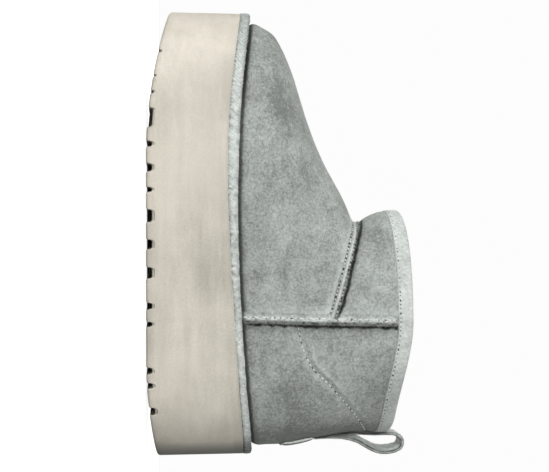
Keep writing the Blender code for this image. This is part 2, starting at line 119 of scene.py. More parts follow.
DIP_START, DIP_LENGTH = 0.10, 0.42

# How far the platform's edge stands above its plain curve, and the welt's height:
# both are uneven along the boot
WeltPlace = namedtuple("WeltPlace", "along seat height")
WELT_PLACES = [
    WeltPlace(-10, 0.1, 5.0), WeltPlace(20, 0.1, 4.7), WeltPlace(43, 0.25, 4.3),
    WeltPlace(63, 0.8, 4.1), WeltPlace(93, 1.15, 4.2), WeltPlace(133, 0.95, 5.0),
    WeltPlace(169, 0.5, 6.2), WeltPlace(199, 0.55, 6.5), WeltPlace(240, 1.15, 6.3),
    WeltPlace(278, 1.25, 6.2),
]

SOLE_BAND, SOLE_WALL_LOW = 5.6, 7.0
SOLE_SPINE_BACK, SOLE_SPINE_FRONT = 26.0, 242.0
Groove = namedtuple("Groove", "along width depth", defaults=(1.0,))
GROOVES = [
    Groove(237.8, 1.8, 0.55), Groove(222.8, 1.4, 0.45), Groove(213.2, 1.8, 0.55), Groove(198.5, 11.0, 0.8),
    Groove(183.5, 3.4), Groove(170.2, 4.6), Groove(157.8, 3.0), Groove(143.1, 7.2), Groove(127.0, 5.6),
    Groove(110.8, 6.6), Groove(91.9, 4.0), Groove(81.5, 3.0), Groove(54.9, 3.8), Groove(46.4, 3.4),
    Groove(31.4, 4.6),
]

LapPoint = namedtuple("LapPoint", "aside lift")
LAP_SECTION = [
    LapPoint(-1.2, 0.5), LapPoint(-1.5, 1.6), LapPoint(-0.3, 2.6), LapPoint(2.0, 2.2),
    LapPoint(4.6, 1.0), LapPoint(4.8, 0.5),
]
SIDE_SEAM_LOW, SIDE_SEAM_HIGH = 83.4, 80.6
THROAT_RISE_FRONT, THROAT_RISE_SIDE = 1.8, -1.6
THROAT_SWAY, THROAT_SWAY_RATE = 1.1, 4.5
THROAT_STOP, THROAT_ROW_MORE = 2.0, 0.0085
THROAT_SINK, THROAT_SINK_REACH, THROAT_FLATTENED = 0.9, 0.045, 0.7
SIDE_SEWN_AT, THROAT_SEWN_AT = (1.5,), (-0.1, 3.7)
# How dark the pits along each seam's raw edge are drawn: painted shade in its hollows
SIDE_PIT_SHADE, THROAT_PIT_SHADE = 0.86, 0.95
SIDE_CORD, THROAT_CORD = 0.75, 0.95
# Painted shade on the turned half of each lapped seam, which faces away from the lamps
SIDE_UNDERSIDE_SHADE_LOW, SIDE_UNDERSIDE_SHADE_MORE, SIDE_UNDERSIDE_SHADE_SHARE, THROAT_UNDERSIDE_SHADE = 0.24, 0.14, 0.4, 0.4
SIDE_SEEDS, THROAT_SEED = {1: 41, -1: 43}, 45
SIDE_LAP_TUCK, SIDE_LAP_TUCK_V, SIDE_LAP_DIP, SIDE_ROW_START = 0.55, 0.30, 1.8, 0.24

TAPE = 1.1
BINDING_DROP, BINDING_DROP_INSIDE = 6.7, 6.2
BINDING_FOLD, BINDING_FOLD_FOOT, BINDING_STITCHED = 2.4, -0.9, 1.4

LOOP_TAPE, LOOP_PUFF, LOOP_WIDTH, LOOP_TWIST = 1.4, 0.5, 13.0, 1.9
LOOP_EDGE, LOOP_EDGE_ROUND, LOOP_RIB_PITCH = 0.5, 0.12, 1.6
LoopPoint = namedtuple("LoopPoint", "behind up")
LOOP_PATH = [
    LoopPoint(0.4, 101.5), LoopPoint(0.65, 110.0), LoopPoint(0.9, 118.0), LoopPoint(1.2, 126.0),
    LoopPoint(1.8, 133.0), LoopPoint(2.4, 139.0), LoopPoint(2.45, 146.0), LoopPoint(2.7, 151.5),
    LoopPoint(5.0, 155.2), LoopPoint(8.6, 156.0), LoopPoint(11.6, 154.3), LoopPoint(13.4, 150.0),
    LoopPoint(13.9, 145.0), LoopPoint(12.8, 139.5), LoopPoint(9.6, 133.5), LoopPoint(5.9, 127.5),
    LoopPoint(3.4, 120.0), LoopPoint(1.95, 112.0), LoopPoint(1.0, 105.5), LoopPoint(0.55, 101.5),
]

PATCH_LOW, PATCH_HIGH = 80.0, 101.0
PATCH_WIDTH, PATCH_THICKNESS, PATCH_SQUARENESS = 30.0, 1.5, 5.0
# The patch's face is drawn darker than the suede: painted shade
PATCH_TAPER, PATCH_SHADE = 0.6, -0.3

# The stitched edge of the heel stiffener, from the side seam up to the back of the shaft
LinePoint = namedtuple("LinePoint", "along up")
COUNTER_LINE = [
    LinePoint(79.6, 87.2), LinePoint(68.8, 89.4), LinePoint(60.5, 92.6), LinePoint(53.4, 97.0),
    LinePoint(45.1, 105.6), LinePoint(32.0, 117.2), LinePoint(24.8, 123.4), LinePoint(16.5, 129.6),
]
COUNTER_BACK = LinePoint(11.8, 133.0)
COUNTER_EDGE = 3.5

# Soft hollows and swellings of the suede, listed one by one: depth below zero is a hollow
Dent = namedtuple("Dent", "along up side reach_along reach_up depth")
DENTS = [
    Dent(226, 74, 1, 20, 9, -0.5), Dent(196, 70, 1, 22, 8, 0.4), Dent(184, 88, 1, 16, 9, -0.6),
    Dent(158, 82, 1, 18, 12, 0.5), Dent(146, 104, 1, 15, 8, -0.6), Dent(124, 92, 1, 17, 15, 0.4),
    Dent(118, 68, 1, 26, 7, -0.5), Dent(103, 112, 1, 12, 9, -0.5), Dent(62, 76, 1, 18, 8, -0.5),
    Dent(38, 90, 1, 15, 13, 0.5), Dent(60, 118, 1, 14, 13, 0.5), Dent(36, 132, 1, 12, 8, -0.5),
    Dent(110, 134, 1, 13, 8, -0.5), Dent(216, 76, -1, 20, 9, -0.5), Dent(178, 84, -1, 20, 9, 0.5),
    Dent(150, 100, -1, 15, 8, -0.6), Dent(120, 76, -1, 24, 9, -0.5), Dent(50, 84, -1, 18, 12, 0.5),
    Dent(40, 124, -1, 14, 9, -0.5), Dent(110, 132, -1, 13, 8, 0.4),
]

# Lighter and darker clouds of the nap on the outer side; the inner side has them further back
Cloud = namedtuple("Cloud", "along up reach_along reach_up tone")
CLOUDS = [
    Cloud(244, 61, 13, 7, 0.20), Cloud(215, 76, 11, 8, -0.28), Cloud(212, 61, 10, 7, -0.07),
    Cloud(200, 81, 11, 8, -0.38), Cloud(226, 58, 8, 5, 0.05), Cloud(178, 59, 22, 8, 0.08),
    Cloud(180, 85, 7, 5, 0.18), Cloud(168, 94, 9, 8, -0.26), Cloud(150, 81, 16, 14, 0.10),
    Cloud(112, 81, 7, 6, -0.26), Cloud(109, 63, 7, 5, -0.24), Cloud(97, 71, 8, 16, 0.08),
    Cloud(123, 137, 10, 7, -0.12), Cloud(106, 134, 8, 8, 0.06), Cloud(55, 113, 14, 10, 0.12),
    Cloud(46, 87, 12, 10, -0.14), Cloud(46, 142, 10, 6, -0.14), Cloud(70, 67, 10, 8, -0.06),
    Cloud(106, 74, 16, 18, 0.19), Cloud(188, 70, 20, 16, -0.10), Cloud(228, 68, 18, 12, -0.06),
    Cloud(28, 112, 12, 13, 0.16), Cloud(44, 113, 16, 12, 0.06), Cloud(130, 80, 8, 20, -0.07),
    Cloud(134, 141, 6, 6, 0.12),
]
INNER_CLOUD_SHIFT = 23.0

# Paler and darker lengths of the platform's wall; the paler length near the heel is a painted highlight
# that makes up for the shade where the heel curves away
Shade = namedtuple("Shade", "along reach grime")
SOLE_SHADES = [Shade(250, 20, 0.12), Shade(207, 26, 0.34), Shade(126, 24, -0.10), Shade(28, 12, -0.14)]
# Painted shade at the platform's heel end, where it curves away from the lamps
HEEL_END_SHADE, HEEL_END_SHADE_START, HEEL_END_SHADE_LENGTH = 1.35, 17.5, 14.5

# Where the suede and the welt change towards the heel end and the toe end, and over what length;
# the darkening of both at the heel end and of the suede at the toe is painted shade
SUEDE_HEEL_SHADE, SUEDE_HEEL_SHADE_START, SUEDE_HEEL_SHADE_LENGTH = 0.52, 26, 16
SUEDE_TOE_START, SUEDE_TOE_LENGTH = 205, 40
SHADOW_TOE_START, SHADOW_TOE_LENGTH = 195, 35
WELT_TOE_START, WELT_TOE_LENGTH = 195, 45
WELT_HEEL_START, WELT_HEEL_LENGTH = 75, 40
WELT_DULL_START, WELT_DULL_LENGTH = 222, 42
WELT_HEEL_SHADE_START, WELT_HEEL_SHADE_LENGTH = 17, 13

CURL_SIZE, LINING_CURL, FOOTBED_CURL, LINING_LOW_V = 3.6, 1.3, 0.9, 1.0

# Rows of stitches: distance from stitch to stitch, height of each row, size against a plain stitch,
# size of the needle holes, which are dark discs of painted shade, and the slot of what they are sewn to
Sewing = namedtuple("Sewing", "pitch lifts bold hole_length hole_width slot")
SEWING = {
    "side": Sewing(3.2, (2.0,), 2.15, 1.5, 1.15, "suede"),
    "throat": Sewing(2.5, (2.15, 0.95), 1.15, 1.9, 1.3, "suede"),
    "counter": Sewing(3.3, (-0.2,), 1.28, 1.15, 0.75, "suede"),
    "collar": Sewing(2.6, (GAP + TAPE - 0.25,), 0.75, 1.1, 0.8, "collar_tape"),
}
STITCH_UNEVEN, HOLES_SUNK = 0.27, 0.10
# The side seam's zigzag: how far a stitch sways aside, and how much later it comes
SIDE_ZIGZAG = ((0.45, 0.0), (-0.45, 0.5))
HAIR_TURN = 3.1

# Stage, in metres
FLOOR_RADIUS, BACKDROP_RADIUS, FLOOR_UNDER_DROP = 3.0, 2.9, 0.0004
LIT_MIDDLE = (0, 0, 0.07)

# Mesh steps
PATH_STEPS, WELT_LINE_STEPS, COUNTER_LINE_STEPS = 24, 200, 60
SIDE_ROW_STEPS, THROAT_ROW_STEPS, COLLAR_ROW_STEPS = 200, 240, 700
COUNTER_ROW_STEPS, COUNTER_BACK_STEPS = 80, 14
SKIN_AROUND, SKIN_PER_LEVEL, SOFT_ROWS = 960, 24, 14
UPPER_COLUMNS, UPPER_ROWS_PER_LEVEL = 380, 11
UPPER_DENSE_ROWS = [(0.75, 1.5, 0.03), (7.35, 8.75, 0.04)]
SEAM_COLUMN, SEAM_DENSE_WIDTH, SEAM_DENSE_COLUMNS = 0.30, 0.018, 46
LINING_COLUMNS, LINING_ROWS = 400, 150
THROAT_INSIDE = (6.6, 9.6)
THROAT_INSIDE_ROWS, PLAIN_INSIDE_ROWS = 24, 4
FOOTBED_COLUMNS, FOOTBED_TOP_ROWS, FOOTBED_PLAIN_ROWS = 320, 34, 5
# The footbed's edge: share of the way to the middle, height above the platform
FOOTBED_EDGE = [(1.0, GAP), (0.5, GAP), (0.0, GAP), (0.0, 2.4), (0.0, 3.9), (0.012, 4.7), (0.03, 5.1)]
WELT_COLUMNS, WELT_ROUND_STEPS = 2900, 20
SEAM_ROWS, SEAM_SECTION_STEPS = 300, 40
BINDING_COLUMNS, BINDING_OUTER_ROWS, BINDING_FOLD_ROWS, BINDING_INNER_ROWS = 420, 9, 11, 6
SOLE_WALL_ROWS, SOLE_STATIONS, LEAST_STATION_GAP = 40, 260, 0.09
SOLE_TOP_ROUND_ROWS, SOLE_LOW_WALL_ROWS, SOLE_TREAD_ROUND_ROWS = 5, 5, 6
TREAD_SHARES, TREAD_RIB_SHARES = (0.25, 0.5, 0.7, 0.84), (0.88, 1.0)
GROOVE_STEPS = np.array([-0.9, -0.5, -0.2, 0.0, 0.15, 0.35, 0.7, 1.1])
PATCH_STEPS, LOOP_STEPS, LOOP_FACE_STEPS = 96, 150, 15
# Steps along the loop: its thin roots, the end of its inner strand, and the start and end of its twist
LOOP_ROOT, LOOP_INNER_END, LOOP_INNER_FADE = 34, 50, 16
LOOP_TWIST_START, LOOP_TWIST_RISE, LOOP_TWIST_END, LOOP_TWIST_FALL = 66, 22, 138, 36


def boot_to_world(points):
    """Boot sizes in millimetres as scene coordinates in metres."""
    points = np.asarray(points, float)
    return np.stack([points[..., 1], SOLE_LENGTH / 2 - points[..., 0], points[..., 2]], axis=-1) * MM


def directions_to_world(vectors):
    """Directions in the boot's own frame as scene directions."""
    return np.stack([vectors[..., 1], -vectors[..., 0], vectors[..., 2]], axis=-1)


def ease(t):
    t = np.clip(t, 0, 1)
    return t * t * (3 - 2 * t)


def bell(distance, reach):
    return np.exp(-((distance / reach) ** 2))


def grain(points, size, seed):
    """Smooth noise from -1 to 1 in space, with features of one size in millimetres."""
    cell = np.asarray(points, float) / size + seed * 17.31
    base = np.floor(cell).astype(np.int64)
    t = ease(cell - base)
    total = np.zeros(cell.shape[:-1])
    for corner in product((0, 1), repeat=3):
        key = (base + corner) @ np.array([73856093, 19349663, 83492791])
        value = np.modf(np.abs(np.sin((key % 99991) * 12.9898) * 43758.5453))[0]
        total += value * np.prod(np.where(corner, t, 1 - t), axis=-1)
    return 2 * total - 1


def walked_along(line):
    """The length of a line of points up to each of them."""
    return np.concatenate([[0], np.cumsum(np.linalg.norm(np.diff(line, axis=0), axis=1))])


def smooth_path(points, count):
    """A rounded line through points, at even steps of its length."""
    points = np.asarray(points, float)
    padded = np.concatenate([[2 * points[0] - points[1]], points, [2 * points[-1] - points[-2]]])
    t = np.linspace(0, 1, PATH_STEPS, endpoint=False)[:, None]
    runs = []
    for a, b, c, d in zip(padded, padded[1:], padded[2:], padded[3:]):
        runs.append(0.5 * (2 * b + (c - a) * t + (2 * a - 5 * b + 4 * c - d) * t**2
                           + (3 * b - a - 3 * c + d) * t**3))
    line = np.concatenate(runs + [points[-1:]])
    walked = walked_along(line)
    wanted = np.linspace(0, walked[-1], count)
    return np.stack([np.interp(wanted, walked, line[:, i]) for i in range(line.shape[1])], axis=1)


WELT_LINE = smooth_path(WELT_PLACES, WELT_LINE_STEPS).T


def toe_swing(along):
    share = np.clip((along - SWING_START) / (SOLE_LENGTH - SWING_START), 0, None)
    return -TOE_SWING * share ** SWING_POWER


def sole_top(along):
    heelward = np.clip((LOWEST_ALONG - along) / LOWEST_ALONG, 0, None)
    toeward = np.clip((along - LOWEST_ALONG) / (SOLE_LENGTH - LOWEST_ALONG), 0, None)
    plain = FOREFOOT_HEIGHT + HEEL_LIFT * heelward ** HEEL_LIFT_POWER + TOE_LIFT * toeward ** TOE_LIFT_POWER
    return plain + np.interp(along, WELT_LINE[0], WELT_LINE[1])


def sole_bottom(along):
    toeward = np.clip((along - TOE_SPRING_START) / (SOLE_LENGTH - TOE_SPRING_START), 0, None)
    heelward = np.clip((HEEL_BEVEL_LENGTH - along) / HEEL_BEVEL_LENGTH, 0, None)
    return TOE_SPRING * toeward ** TOE_SPRING_POWER + HEEL_BEVEL * heelward ** HEEL_BEVEL_POWER


def welt_height(along):
    return np.interp(along, WELT_LINE[0], WELT_LINE[2])


def half_loop(shape, side):
    """Along and across of one side of a section, from its front point round to its back point."""
    heel_half, ball_half = (shape.heel_out, shape.ball_out) if side > 0 else (shape.heel_in, shape.ball_in)
    arch = 0 if side > 0 else shape.arch
    turn = np.linspace(0, math.pi / 2, QUARTER_STEPS + 1)
    reach, spread = np.cos(turn), np.sin(turn)
    reach[-1] = 0.0
    run = np.linspace(0, 1, QUARTER_STEPS + 1)[1:-1]
    along = np.concatenate([
        shape.ball + (shape.front - shape.ball) * reach ** (2 / shape.front_power),
        shape.ball + (shape.heel - shape.ball) * run,
        shape.heel + (shape.back - shape.heel) * reach[::-1] ** (2 / shape.back_power)])
    half = np.concatenate([
        ball_half * spread ** (2 / shape.front_power),
        ball_half + (heel_half - ball_half) * run * run * (3 - 2 * run),
        heel_half * spread[::-1] ** (2 / shape.back_power)])
    half = half * (1 - arch * np.exp(-(((along - ARCH_ALONG) / ARCH_SPREAD) ** 2)))
    return along, toe_swing(along) + side * half


def plan_loop(shape, u):
    """Plan points at u, which runs from the front over the outer side, the back and the inner side."""
    u = np.mod(u, 1.0)
    found = np.empty(u.shape + (2,))
    for side, here, share in ((1, u <= 0.5, 2 * u), (-1, u > 0.5, 2 * (1 - u))):
        along, across = half_loop(shape, side)
        walked = np.concatenate([[0], np.cumsum(np.hypot(np.diff(along), np.diff(across)))])
        where = share[here] * walked[-1]
        found[here, 0] = np.interp(where, walked, along)
        found[here, 1] = np.interp(where, walked, across)
    return found


def smooth_slopes(values):
    """Slopes at evenly spaced rows that never overshoot a row."""
    steps = np.diff(values)
    before, after = steps[:-1], steps[1:]
    same_way = before * after > 0
    inner = np.where(same_way, 2 * before * after / np.where(same_way, before + after, 1), 0)
    return np.concatenate([[steps[0]], inner, [steps[-1]]])


LEVEL_VALUES = np.array([level[1:] for level in UPPER_LEVELS], float)
LEVEL_SLOPES = np.array([smooth_slopes(column) for column in LEVEL_VALUES.T]).T


def level_at(v):
    """The upper's section at v, between the rows of the level table."""
    row = min(int(max(v, 0)), len(UPPER_LEVELS) - 2)
    t = v - row
    low, high = LEVEL_VALUES[row], LEVEL_VALUES[row + 1]
    rise, fall = LEVEL_SLOPES[row], LEVEL_SLOPES[row + 1]
    values = ((2 * t**3 - 3 * t**2 + 1) * low + (t**3 - 2 * t**2 + t) * rise
              + (3 * t**2 - 2 * t**3) * high + (t**3 - t**2) * fall)
    return Level("between", *values)


def plane_height(level, along):
    share = (along - level.back) / (level.front - level.back)
    share = share + level.dip * (ease((share - DIP_START) / DIP_LENGTH) - share)
    return level.back_up + (level.front_up - level.back_up) * share


def skin_row(u, v):
    """Points of the upper's outer face at one v."""
    level = level_at(v)
    plan = plan_loop(level, u)
    up = plane_height(level, plan[:, 0]) + level.follow * sole_top(plan[:, 0])
    return np.concatenate([plan, up[:, None]], axis=1)


class Skin:
    """The upper's outer face on a fine grid, read at any u and v."""

    def __init__(self):
        self.u = np.linspace(0, 1, SKIN_AROUND + 1)
        self.v = np.linspace(0, COLLAR_V, int(COLLAR_V) * SKIN_PER_LEVEL + 1)
        self.points = self.soften(np.array([skin_row(self.u, v) for v in self.v]))
        inside = self.points[:, :-1]
        around = np.roll(inside, -1, axis=1) - np.roll(inside, 1, axis=1)
        around = np.concatenate([around, around[:, :1]], axis=1)
        normal = np.cross(around, np.gradient(self.points, axis=0))
        self.normals = normal / np.linalg.norm(normal, axis=2, keepdims=True)
        steps = np.linalg.norm(np.diff(self.points, axis=0), axis=2)
        self.walked = np.concatenate([np.zeros((1, SKIN_AROUND + 1)), np.cumsum(steps, axis=0)])

    def soften(self, rows):
        """Rounds the rows over one another between the welt and the throat."""
        reach = np.arange(-SOFT_ROWS, SOFT_ROWS + 1)
        weights = bell(reach, SOFT_ROWS / 1.6)
        weights /= weights.sum()
        padded = np.concatenate([rows[:1].repeat(SOFT_ROWS, 0), rows, rows[-1:].repeat(SOFT_ROWS, 0)])
        smooth = sum(weight * padded[i:i + len(rows)] for i, weight in enumerate(weights))
        share = ease((self.v - 0.7) / 0.8) * ease((LEVEL_INDEX["throat"] - 0.6 - self.v) / 0.8)
        return rows + (smooth - rows) * share[:, None, None]

    def read(self, table, u, v):
        u, v = np.broadcast_arrays(np.asarray(u, float), np.asarray(v, float))
        x = np.mod(u, 1.0) * SKIN_AROUND
        y = np.clip(v, 0, COLLAR_V) * SKIN_PER_LEVEL
        i = np.minimum(x.astype(int), SKIN_AROUND - 1)
        j = np.minimum(y.astype(int), len(self.v) - 2)
        s, t = (x - i)[..., None], (y - j)[..., None]
        low = table[j, i] * (1 - s) + table[j, i + 1] * s
        high = table[j + 1, i] * (1 - s) + table[j + 1, i + 1] * s
        return low * (1 - t) + high * t

    def normal(self, u, v):
        found = self.read(self.normals, u, v)
        return found / np.linalg.norm(found, axis=-1, keepdims=True)

    def level_normal(self, u, v):
        """The face's direction in plan."""
        flat = self.normal(u, v) * (1, 1, 0)
        return flat / np.linalg.norm(flat, axis=-1, keepdims=True)

    def at(self, u, v, lift=0.0):
        """Points at a height above the face."""
        return self.read(self.points, u, v) + np.asarray(lift, float)[..., None] * self.normal(u, v)

    def u_at(self, along, v, side):
        """Where one level crosses stations along the boot, on one side."""
        half = np.linspace(0, 0.5, SKIN_AROUND // 2 + 1)
        u = half if side > 0 else 1 - half
        row = self.read(self.points, u, v)[:, 0]
        return np.interp(along, row[::-1], u[::-1])

    def v_at(self, u, up):
        """Where the face has heights, at each u."""
        columns = self.read(self.points, np.asarray(u)[:, None], self.v[None, :])[..., 2]
        up = np.broadcast_to(up, np.shape(u))
        return np.array([np.interp(h, column, self.v) for h, column in zip(up, columns)])

    def v_per_mm(self, u, v, nudge=0.04):
        step = self.read(self.points, u, v + nudge) - self.read(self.points, u, v - nudge)
        return 2 * nudge / np.linalg.norm(step, axis=-1)

    def climbed(self, u, v):
        """Millimetres up the face from its foot to v."""
        return self.read(self.walked[..., None], u, v)[..., 0]

    def climb(self, u, v, rise):
        """v after so many millimetres up the face, at each u."""
        reached = self.climbed(u, v) + rise
        columns = np.round(np.mod(u, 1.0) * SKIN_AROUND).astype(int)
        return np.array([np.interp(up, self.walked[:, column], self.v)
                         for up, column in zip(reached, columns)])

    def find(self, line, side):
        """u and v where one side of the face has stations and heights."""
        first = 0 if side > 0 else SKIN_AROUND // 2
        half = self.points[:, first:first + SKIN_AROUND // 2 + 1]
        found = []
        for along, up in line:
            gap = (half[..., 0] - along) ** 2 + (half[..., 2] - up) ** 2
            j, i = np.unravel_index(gap.argmin(), gap.shape)
            u, v = self.u[i + first], self.v[j]
            for _ in range(4):
                here = self.at(u, v)
                by_u = (self.at(u + 0.001, v) - here)[[0, 2]] / 0.001
                by_v = (self.at(u, v + 0.02) - here)[[0, 2]] / 0.02
                miss = np.array([along, up]) - here[[0, 2]]
                step = np.linalg.solve(np.stack([by_u, by_v], axis=1), miss)
                u, v = u + np.clip(step[0], -0.01, 0.01), v + np.clip(step[1], -0.3, 0.3)
            found.append((u, v))
        return np.array(found)


SKIN = Skin()


def side_seam_station(v):
    return SIDE_SEAM_LOW + (SIDE_SEAM_HIGH - SIDE_SEAM_LOW) * v / COLLAR_V


def side_seam_range(side):
    """v from the welt's top to the collar tape's lower edge, along a side seam."""
    low_up = sole_top(SIDE_SEAM_LOW) + welt_height(SIDE_SEAM_LOW) + 3 * GAP - SIDE_LAP_DIP
    high_up = plane_height(UPPER_LEVELS[-1], SIDE_SEAM_HIGH) - BINDING_DROP - 2 * GAP
    places = ((SIDE_SEAM_LOW, LEVEL_INDEX["roll"], low_up), (SIDE_SEAM_HIGH, COLLAR_V, high_up))
    ends = []
    for station, v, up in places:
        u = SKIN.u_at(np.array([station]), v, side)
        ends.append(float(SKIN.v_at(u, up)[0]))
    return ends


def throat_ends():
    """u of the throat seam's two ends, beside the side seams."""
    v = LEVEL_INDEX["throat"]
    clear = np.array([side_seam_station(v) + LAP_SECTION[-1].aside + 2 * GAP])
    return float(SKIN.u_at(clear, v, -1)[0]) - 1, float(SKIN.u_at(clear, v, 1)[0])


THROAT_ENDS = throat_ends()


def throat_line(u):
    """v of the throat seam's line."""
    v = LEVEL_INDEX["throat"]
    start, end = THROAT_ENDS
    sideways = np.abs(u) / max(-start, end)
    rise = THROAT_RISE_FRONT + (THROAT_RISE_SIDE - THROAT_RISE_FRONT) * sideways
    rise = rise - THROAT_SWAY * np.sin(THROAT_SWAY_RATE * sideways)
    return v + rise * SKIN.v_per_mm(u, v)


def throat_v(u, aside):
    """v beside the throat seam's line: aside is in millimetres down the vamp."""
    return SKIN.climb(u, throat_line(u), -np.asarray(aside, float))


def below_throat(u, v):
    """Millimetres down the face from the throat seam's line."""
    return SKIN.climbed(u, throat_line(np.where(u > 0.5, u - 1, u))) - SKIN.climbed(u, v)


def throat_sink(u):
    """How far the throat seam is drawn in: one at the middle of the instep, nought towards its ends."""
    return bell(np.mod(u + 0.5, 1.0) - 0.5, THROAT_SINK_REACH)


def drawn_in(lift, u):
    """A height on the throat seam, lower where the seam is drawn in."""
    sink = throat_sink(u)
    return lift * (1 - THROAT_FLATTENED * sink) - THROAT_SINK * sink


def side_tuck(v, high):
    """What is left of a side seam's height where it goes under the collar tape."""
    return 1 - SIDE_LAP_TUCK * ease((v - high) / SIDE_LAP_TUCK_V + 1)


def grid_faces(rows, columns, wrap_rows=False):
    """Four-sided faces between the rows of a grid of points, closed round its columns."""
    r, c = np.meshgrid(np.arange(rows if wrap_rows else rows - 1), np.arange(columns), indexing="ij")
    r2, c2 = (r + 1) % rows, (c + 1) % columns
    corners = [r * columns + c, r * columns + c2, r2 * columns + c2, r2 * columns + c]
    return np.stack(corners, axis=-1).reshape(-1, 4).tolist()


def add_piece(name, points, faces, finish, values=None):
    """A smooth mesh from boot points and faces, with values kept on its points for the finish."""
    mesh = bpy.data.meshes.new(name)
    mesh.from_pydata(boot_to_world(points).reshape(-1, 3).tolist(), [], faces)
    for label, numbers in (values or {}).items():
        attribute = mesh.attributes.new(label, "FLOAT", "POINT")
        attribute.data.foreach_set("value", np.asarray(numbers, np.float32).ravel())
    form = bmesh.new()
    form.from_mesh(mesh)
    bmesh.ops.remove_doubles(form, verts=form.verts, dist=1e-6)
    bmesh.ops.recalc_face_normals(form, faces=form.faces)
    form.to_mesh(mesh)
    form.free()
    mesh.shade_smooth()
    mesh.materials.append(finish)
    piece = bpy.data.objects.new(name, mesh)
    bpy.context.scene.collection.objects.link(piece)
    return piece


def settle(piece, slot, *nodes):
    """The piece rides on the boot and stands for its solids."""
    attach(piece, BODY)
    if nodes:
        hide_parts(*nodes)


def strip(name, rings, finish, values=None):
    """A closed strip over rings of points, with its two ends filled."""
    rings = np.asarray(rings)
    rows, columns = rings.shape[:2]
    faces = grid_faces(rows, columns)
    faces += [list(range(columns)), list(range((rows - 1) * columns, rows * columns))]
    return add_piece(name, rings, faces, finish, values)


def distance_from_line(points, line):
    """Distance of flat points from a line of flat points, above zero on its right-hand side."""
    line = np.asarray(line, float)
    nearest = np.full(points.shape[:-1], np.inf)
    for a, b in zip(line, line[1:]):
        run = b - a
        t = np.clip(((points - a) @ run) / (run @ run), 0, 1)
        away = points - (a + t[..., None] * run)
        gap = np.linalg.norm(away, axis=-1)
        side = np.where(run[0] * away[..., 1] - run[1] * away[..., 0] > 0, -1, 1)
        nearest = np.where(gap < np.abs(nearest), gap * side, nearest)
    return nearest


class Flow:
    """A socket of a material's nodes, for sums written in Python."""

    def __init__(self, tree, socket):
        self.tree, self.socket = tree, socket

    def math(self, operation, *values):
        node = self.tree.nodes.new("ShaderNodeMath")
        node.operation = operation
        for socket, value in zip(node.inputs, values):
            plug(self.tree, value, socket)
        return Flow(self.tree, node.outputs[0])

    def __add__(self, other):
        return self.math("ADD", self, other)

    def __radd__(self, other):
        return self.math("ADD", other, self)

    def __sub__(self, other):
        return self.math("SUBTRACT", self, other)

    def __mul__(self, other):
        return self.math("MULTIPLY", self, other)


def plug(tree, value, socket):
    """Links a flow to a socket, or sets the socket's own value."""
    if isinstance(value, Flow):
        tree.links.new(value.socket, socket)
    else:
        socket.default_value = value


class Finish:
    """A material made of nodes."""

    def __init__(self, name):
        self.material = bpy.data.materials.new(name)
        self.material.use_nodes = True
        self.tree = self.material.node_tree
        self.shader = self.tree.nodes["Principled BSDF"]
        self.place = self.node("ShaderNodeTexCoord", output="Object")

    def node(self, kind, settings=None, inputs=None, output=0):
        """Any node: its settings first, then the values or links of its sockets."""
        node = self.tree.nodes.new(kind)
        for label, value in (settings or {}).items():
            if label == "stops":
                ramp = node.color_ramp
                while len(ramp.elements) < len(value):
                    ramp.elements.new(0.5)
                for element, (position, colour) in zip(ramp.elements, value):
                    element.position = position
                    element.color = colour
            else:
                setattr(node, label, value)
        for label, value in (inputs or {}).items():
            plug(self.tree, value, node.inputs[label])
        return Flow(self.tree, node.outputs[output])

    def stretched(self, scale):
        return self.node("ShaderNodeMapping", inputs={"Vector": self.place, "Scale": scale})

    def noise(self, scale, detail=2.0, roughness=0.55, place=None, swirl=0.0):
        """Noise whose features are 1 / scale metres."""
        return self.node("ShaderNodeTexNoise", inputs={
            "Vector": place or self.place, "Scale": scale, "Detail": detail, "Roughness": roughness,
            "Distortion": swirl})

    def value(self, name):
        """A number that the piece's points carry."""
        return self.node("ShaderNodeAttribute", {"attribute_name": name}, output="Fac")

    def blend(self, share, low, high):
        """A colour between two, or between two flows of colour."""
        share = self.node("ShaderNodeClamp", inputs={"Value": share})
        return self.node("ShaderNodeMix", {"data_type": "RGBA"}, {0: share, 6: low, 7: high}, output=2)

    def paint(self, colour, roughness, height=None, strength=0.5, distance=0.0003, **constants):
        plug(self.tree, colour, self.shader.inputs["Base Color"])
        plug(self.tree, roughness, self.shader.inputs["Roughness"])
        for label, value in constants.items():
            label = label.replace("_", " ").title().replace("Ior", "IOR")
            self.shader.inputs[label].default_value = value
        if height is not None:
            bump = self.node("ShaderNodeBump", inputs={
                "Height": height, "Strength": strength, "Distance": distance})
            self.tree.links.new(bump.socket, self.shader.inputs["Normal"])
        return self.material


def rgba(colour):
    return (*colour, 1.0)


def suede_finish(colours, name="napped_suede", lighter=0.0):
    """Napped suede: clouded at hand size, speckled where the fibres lie in different ways."""
    finish = Finish(name)
    clouds = finish.noise(34, 3, 0.6)
    strokes = finish.noise(150, 3, 0.65, finish.stretched((1.0, 0.7, 1.0)), 0.9)
    specks = finish.noise(700, 2, 0.7)
    fibres = finish.noise(2000, 2, 0.6, finish.stretched((1.0, 0.45, 1.0)))
    hairs = finish.noise(560, 1, 0.5, finish.stretched((1.0, 0.6, 1.0)), 1.2)
    glints = finish.node("ShaderNodeClamp", inputs={"Value": (hairs - 0.60) * 5.0}) * (clouds - 0.25)
    # The tone that the points carry holds painted highlights and painted shade as well as the nap's clouds
    tone = (0.47 + (clouds - 0.5) * 0.9 + (strokes - 0.5) * 0.95 + (specks - 0.5) * 1.4
            + (fibres - 0.5) * 0.8 + glints * 0.9 + finish.value("tone") + lighter)
    colour = finish.blend(tone, rgba(colours.suede_dark), rgba(colours.suede_light))
    colour = finish.blend(finish.value("raw"), colour, rgba(colours.raw_edge))
    # Painted shade: the dark lines of the seams, the line behind the welt and other shaded places go to
    # near-black
    colour = finish.blend(finish.value("crevice"), colour, rgba(colours.crevice))
    height = specks * 0.6 + fibres * 0.4 + strokes * 0.6
    return finish.paint(colour, 0.96, height, 0.5, 0.0005, sheen_weight=0.12, sheen_roughness=0.6,
                        specular_ior_level=0.15)


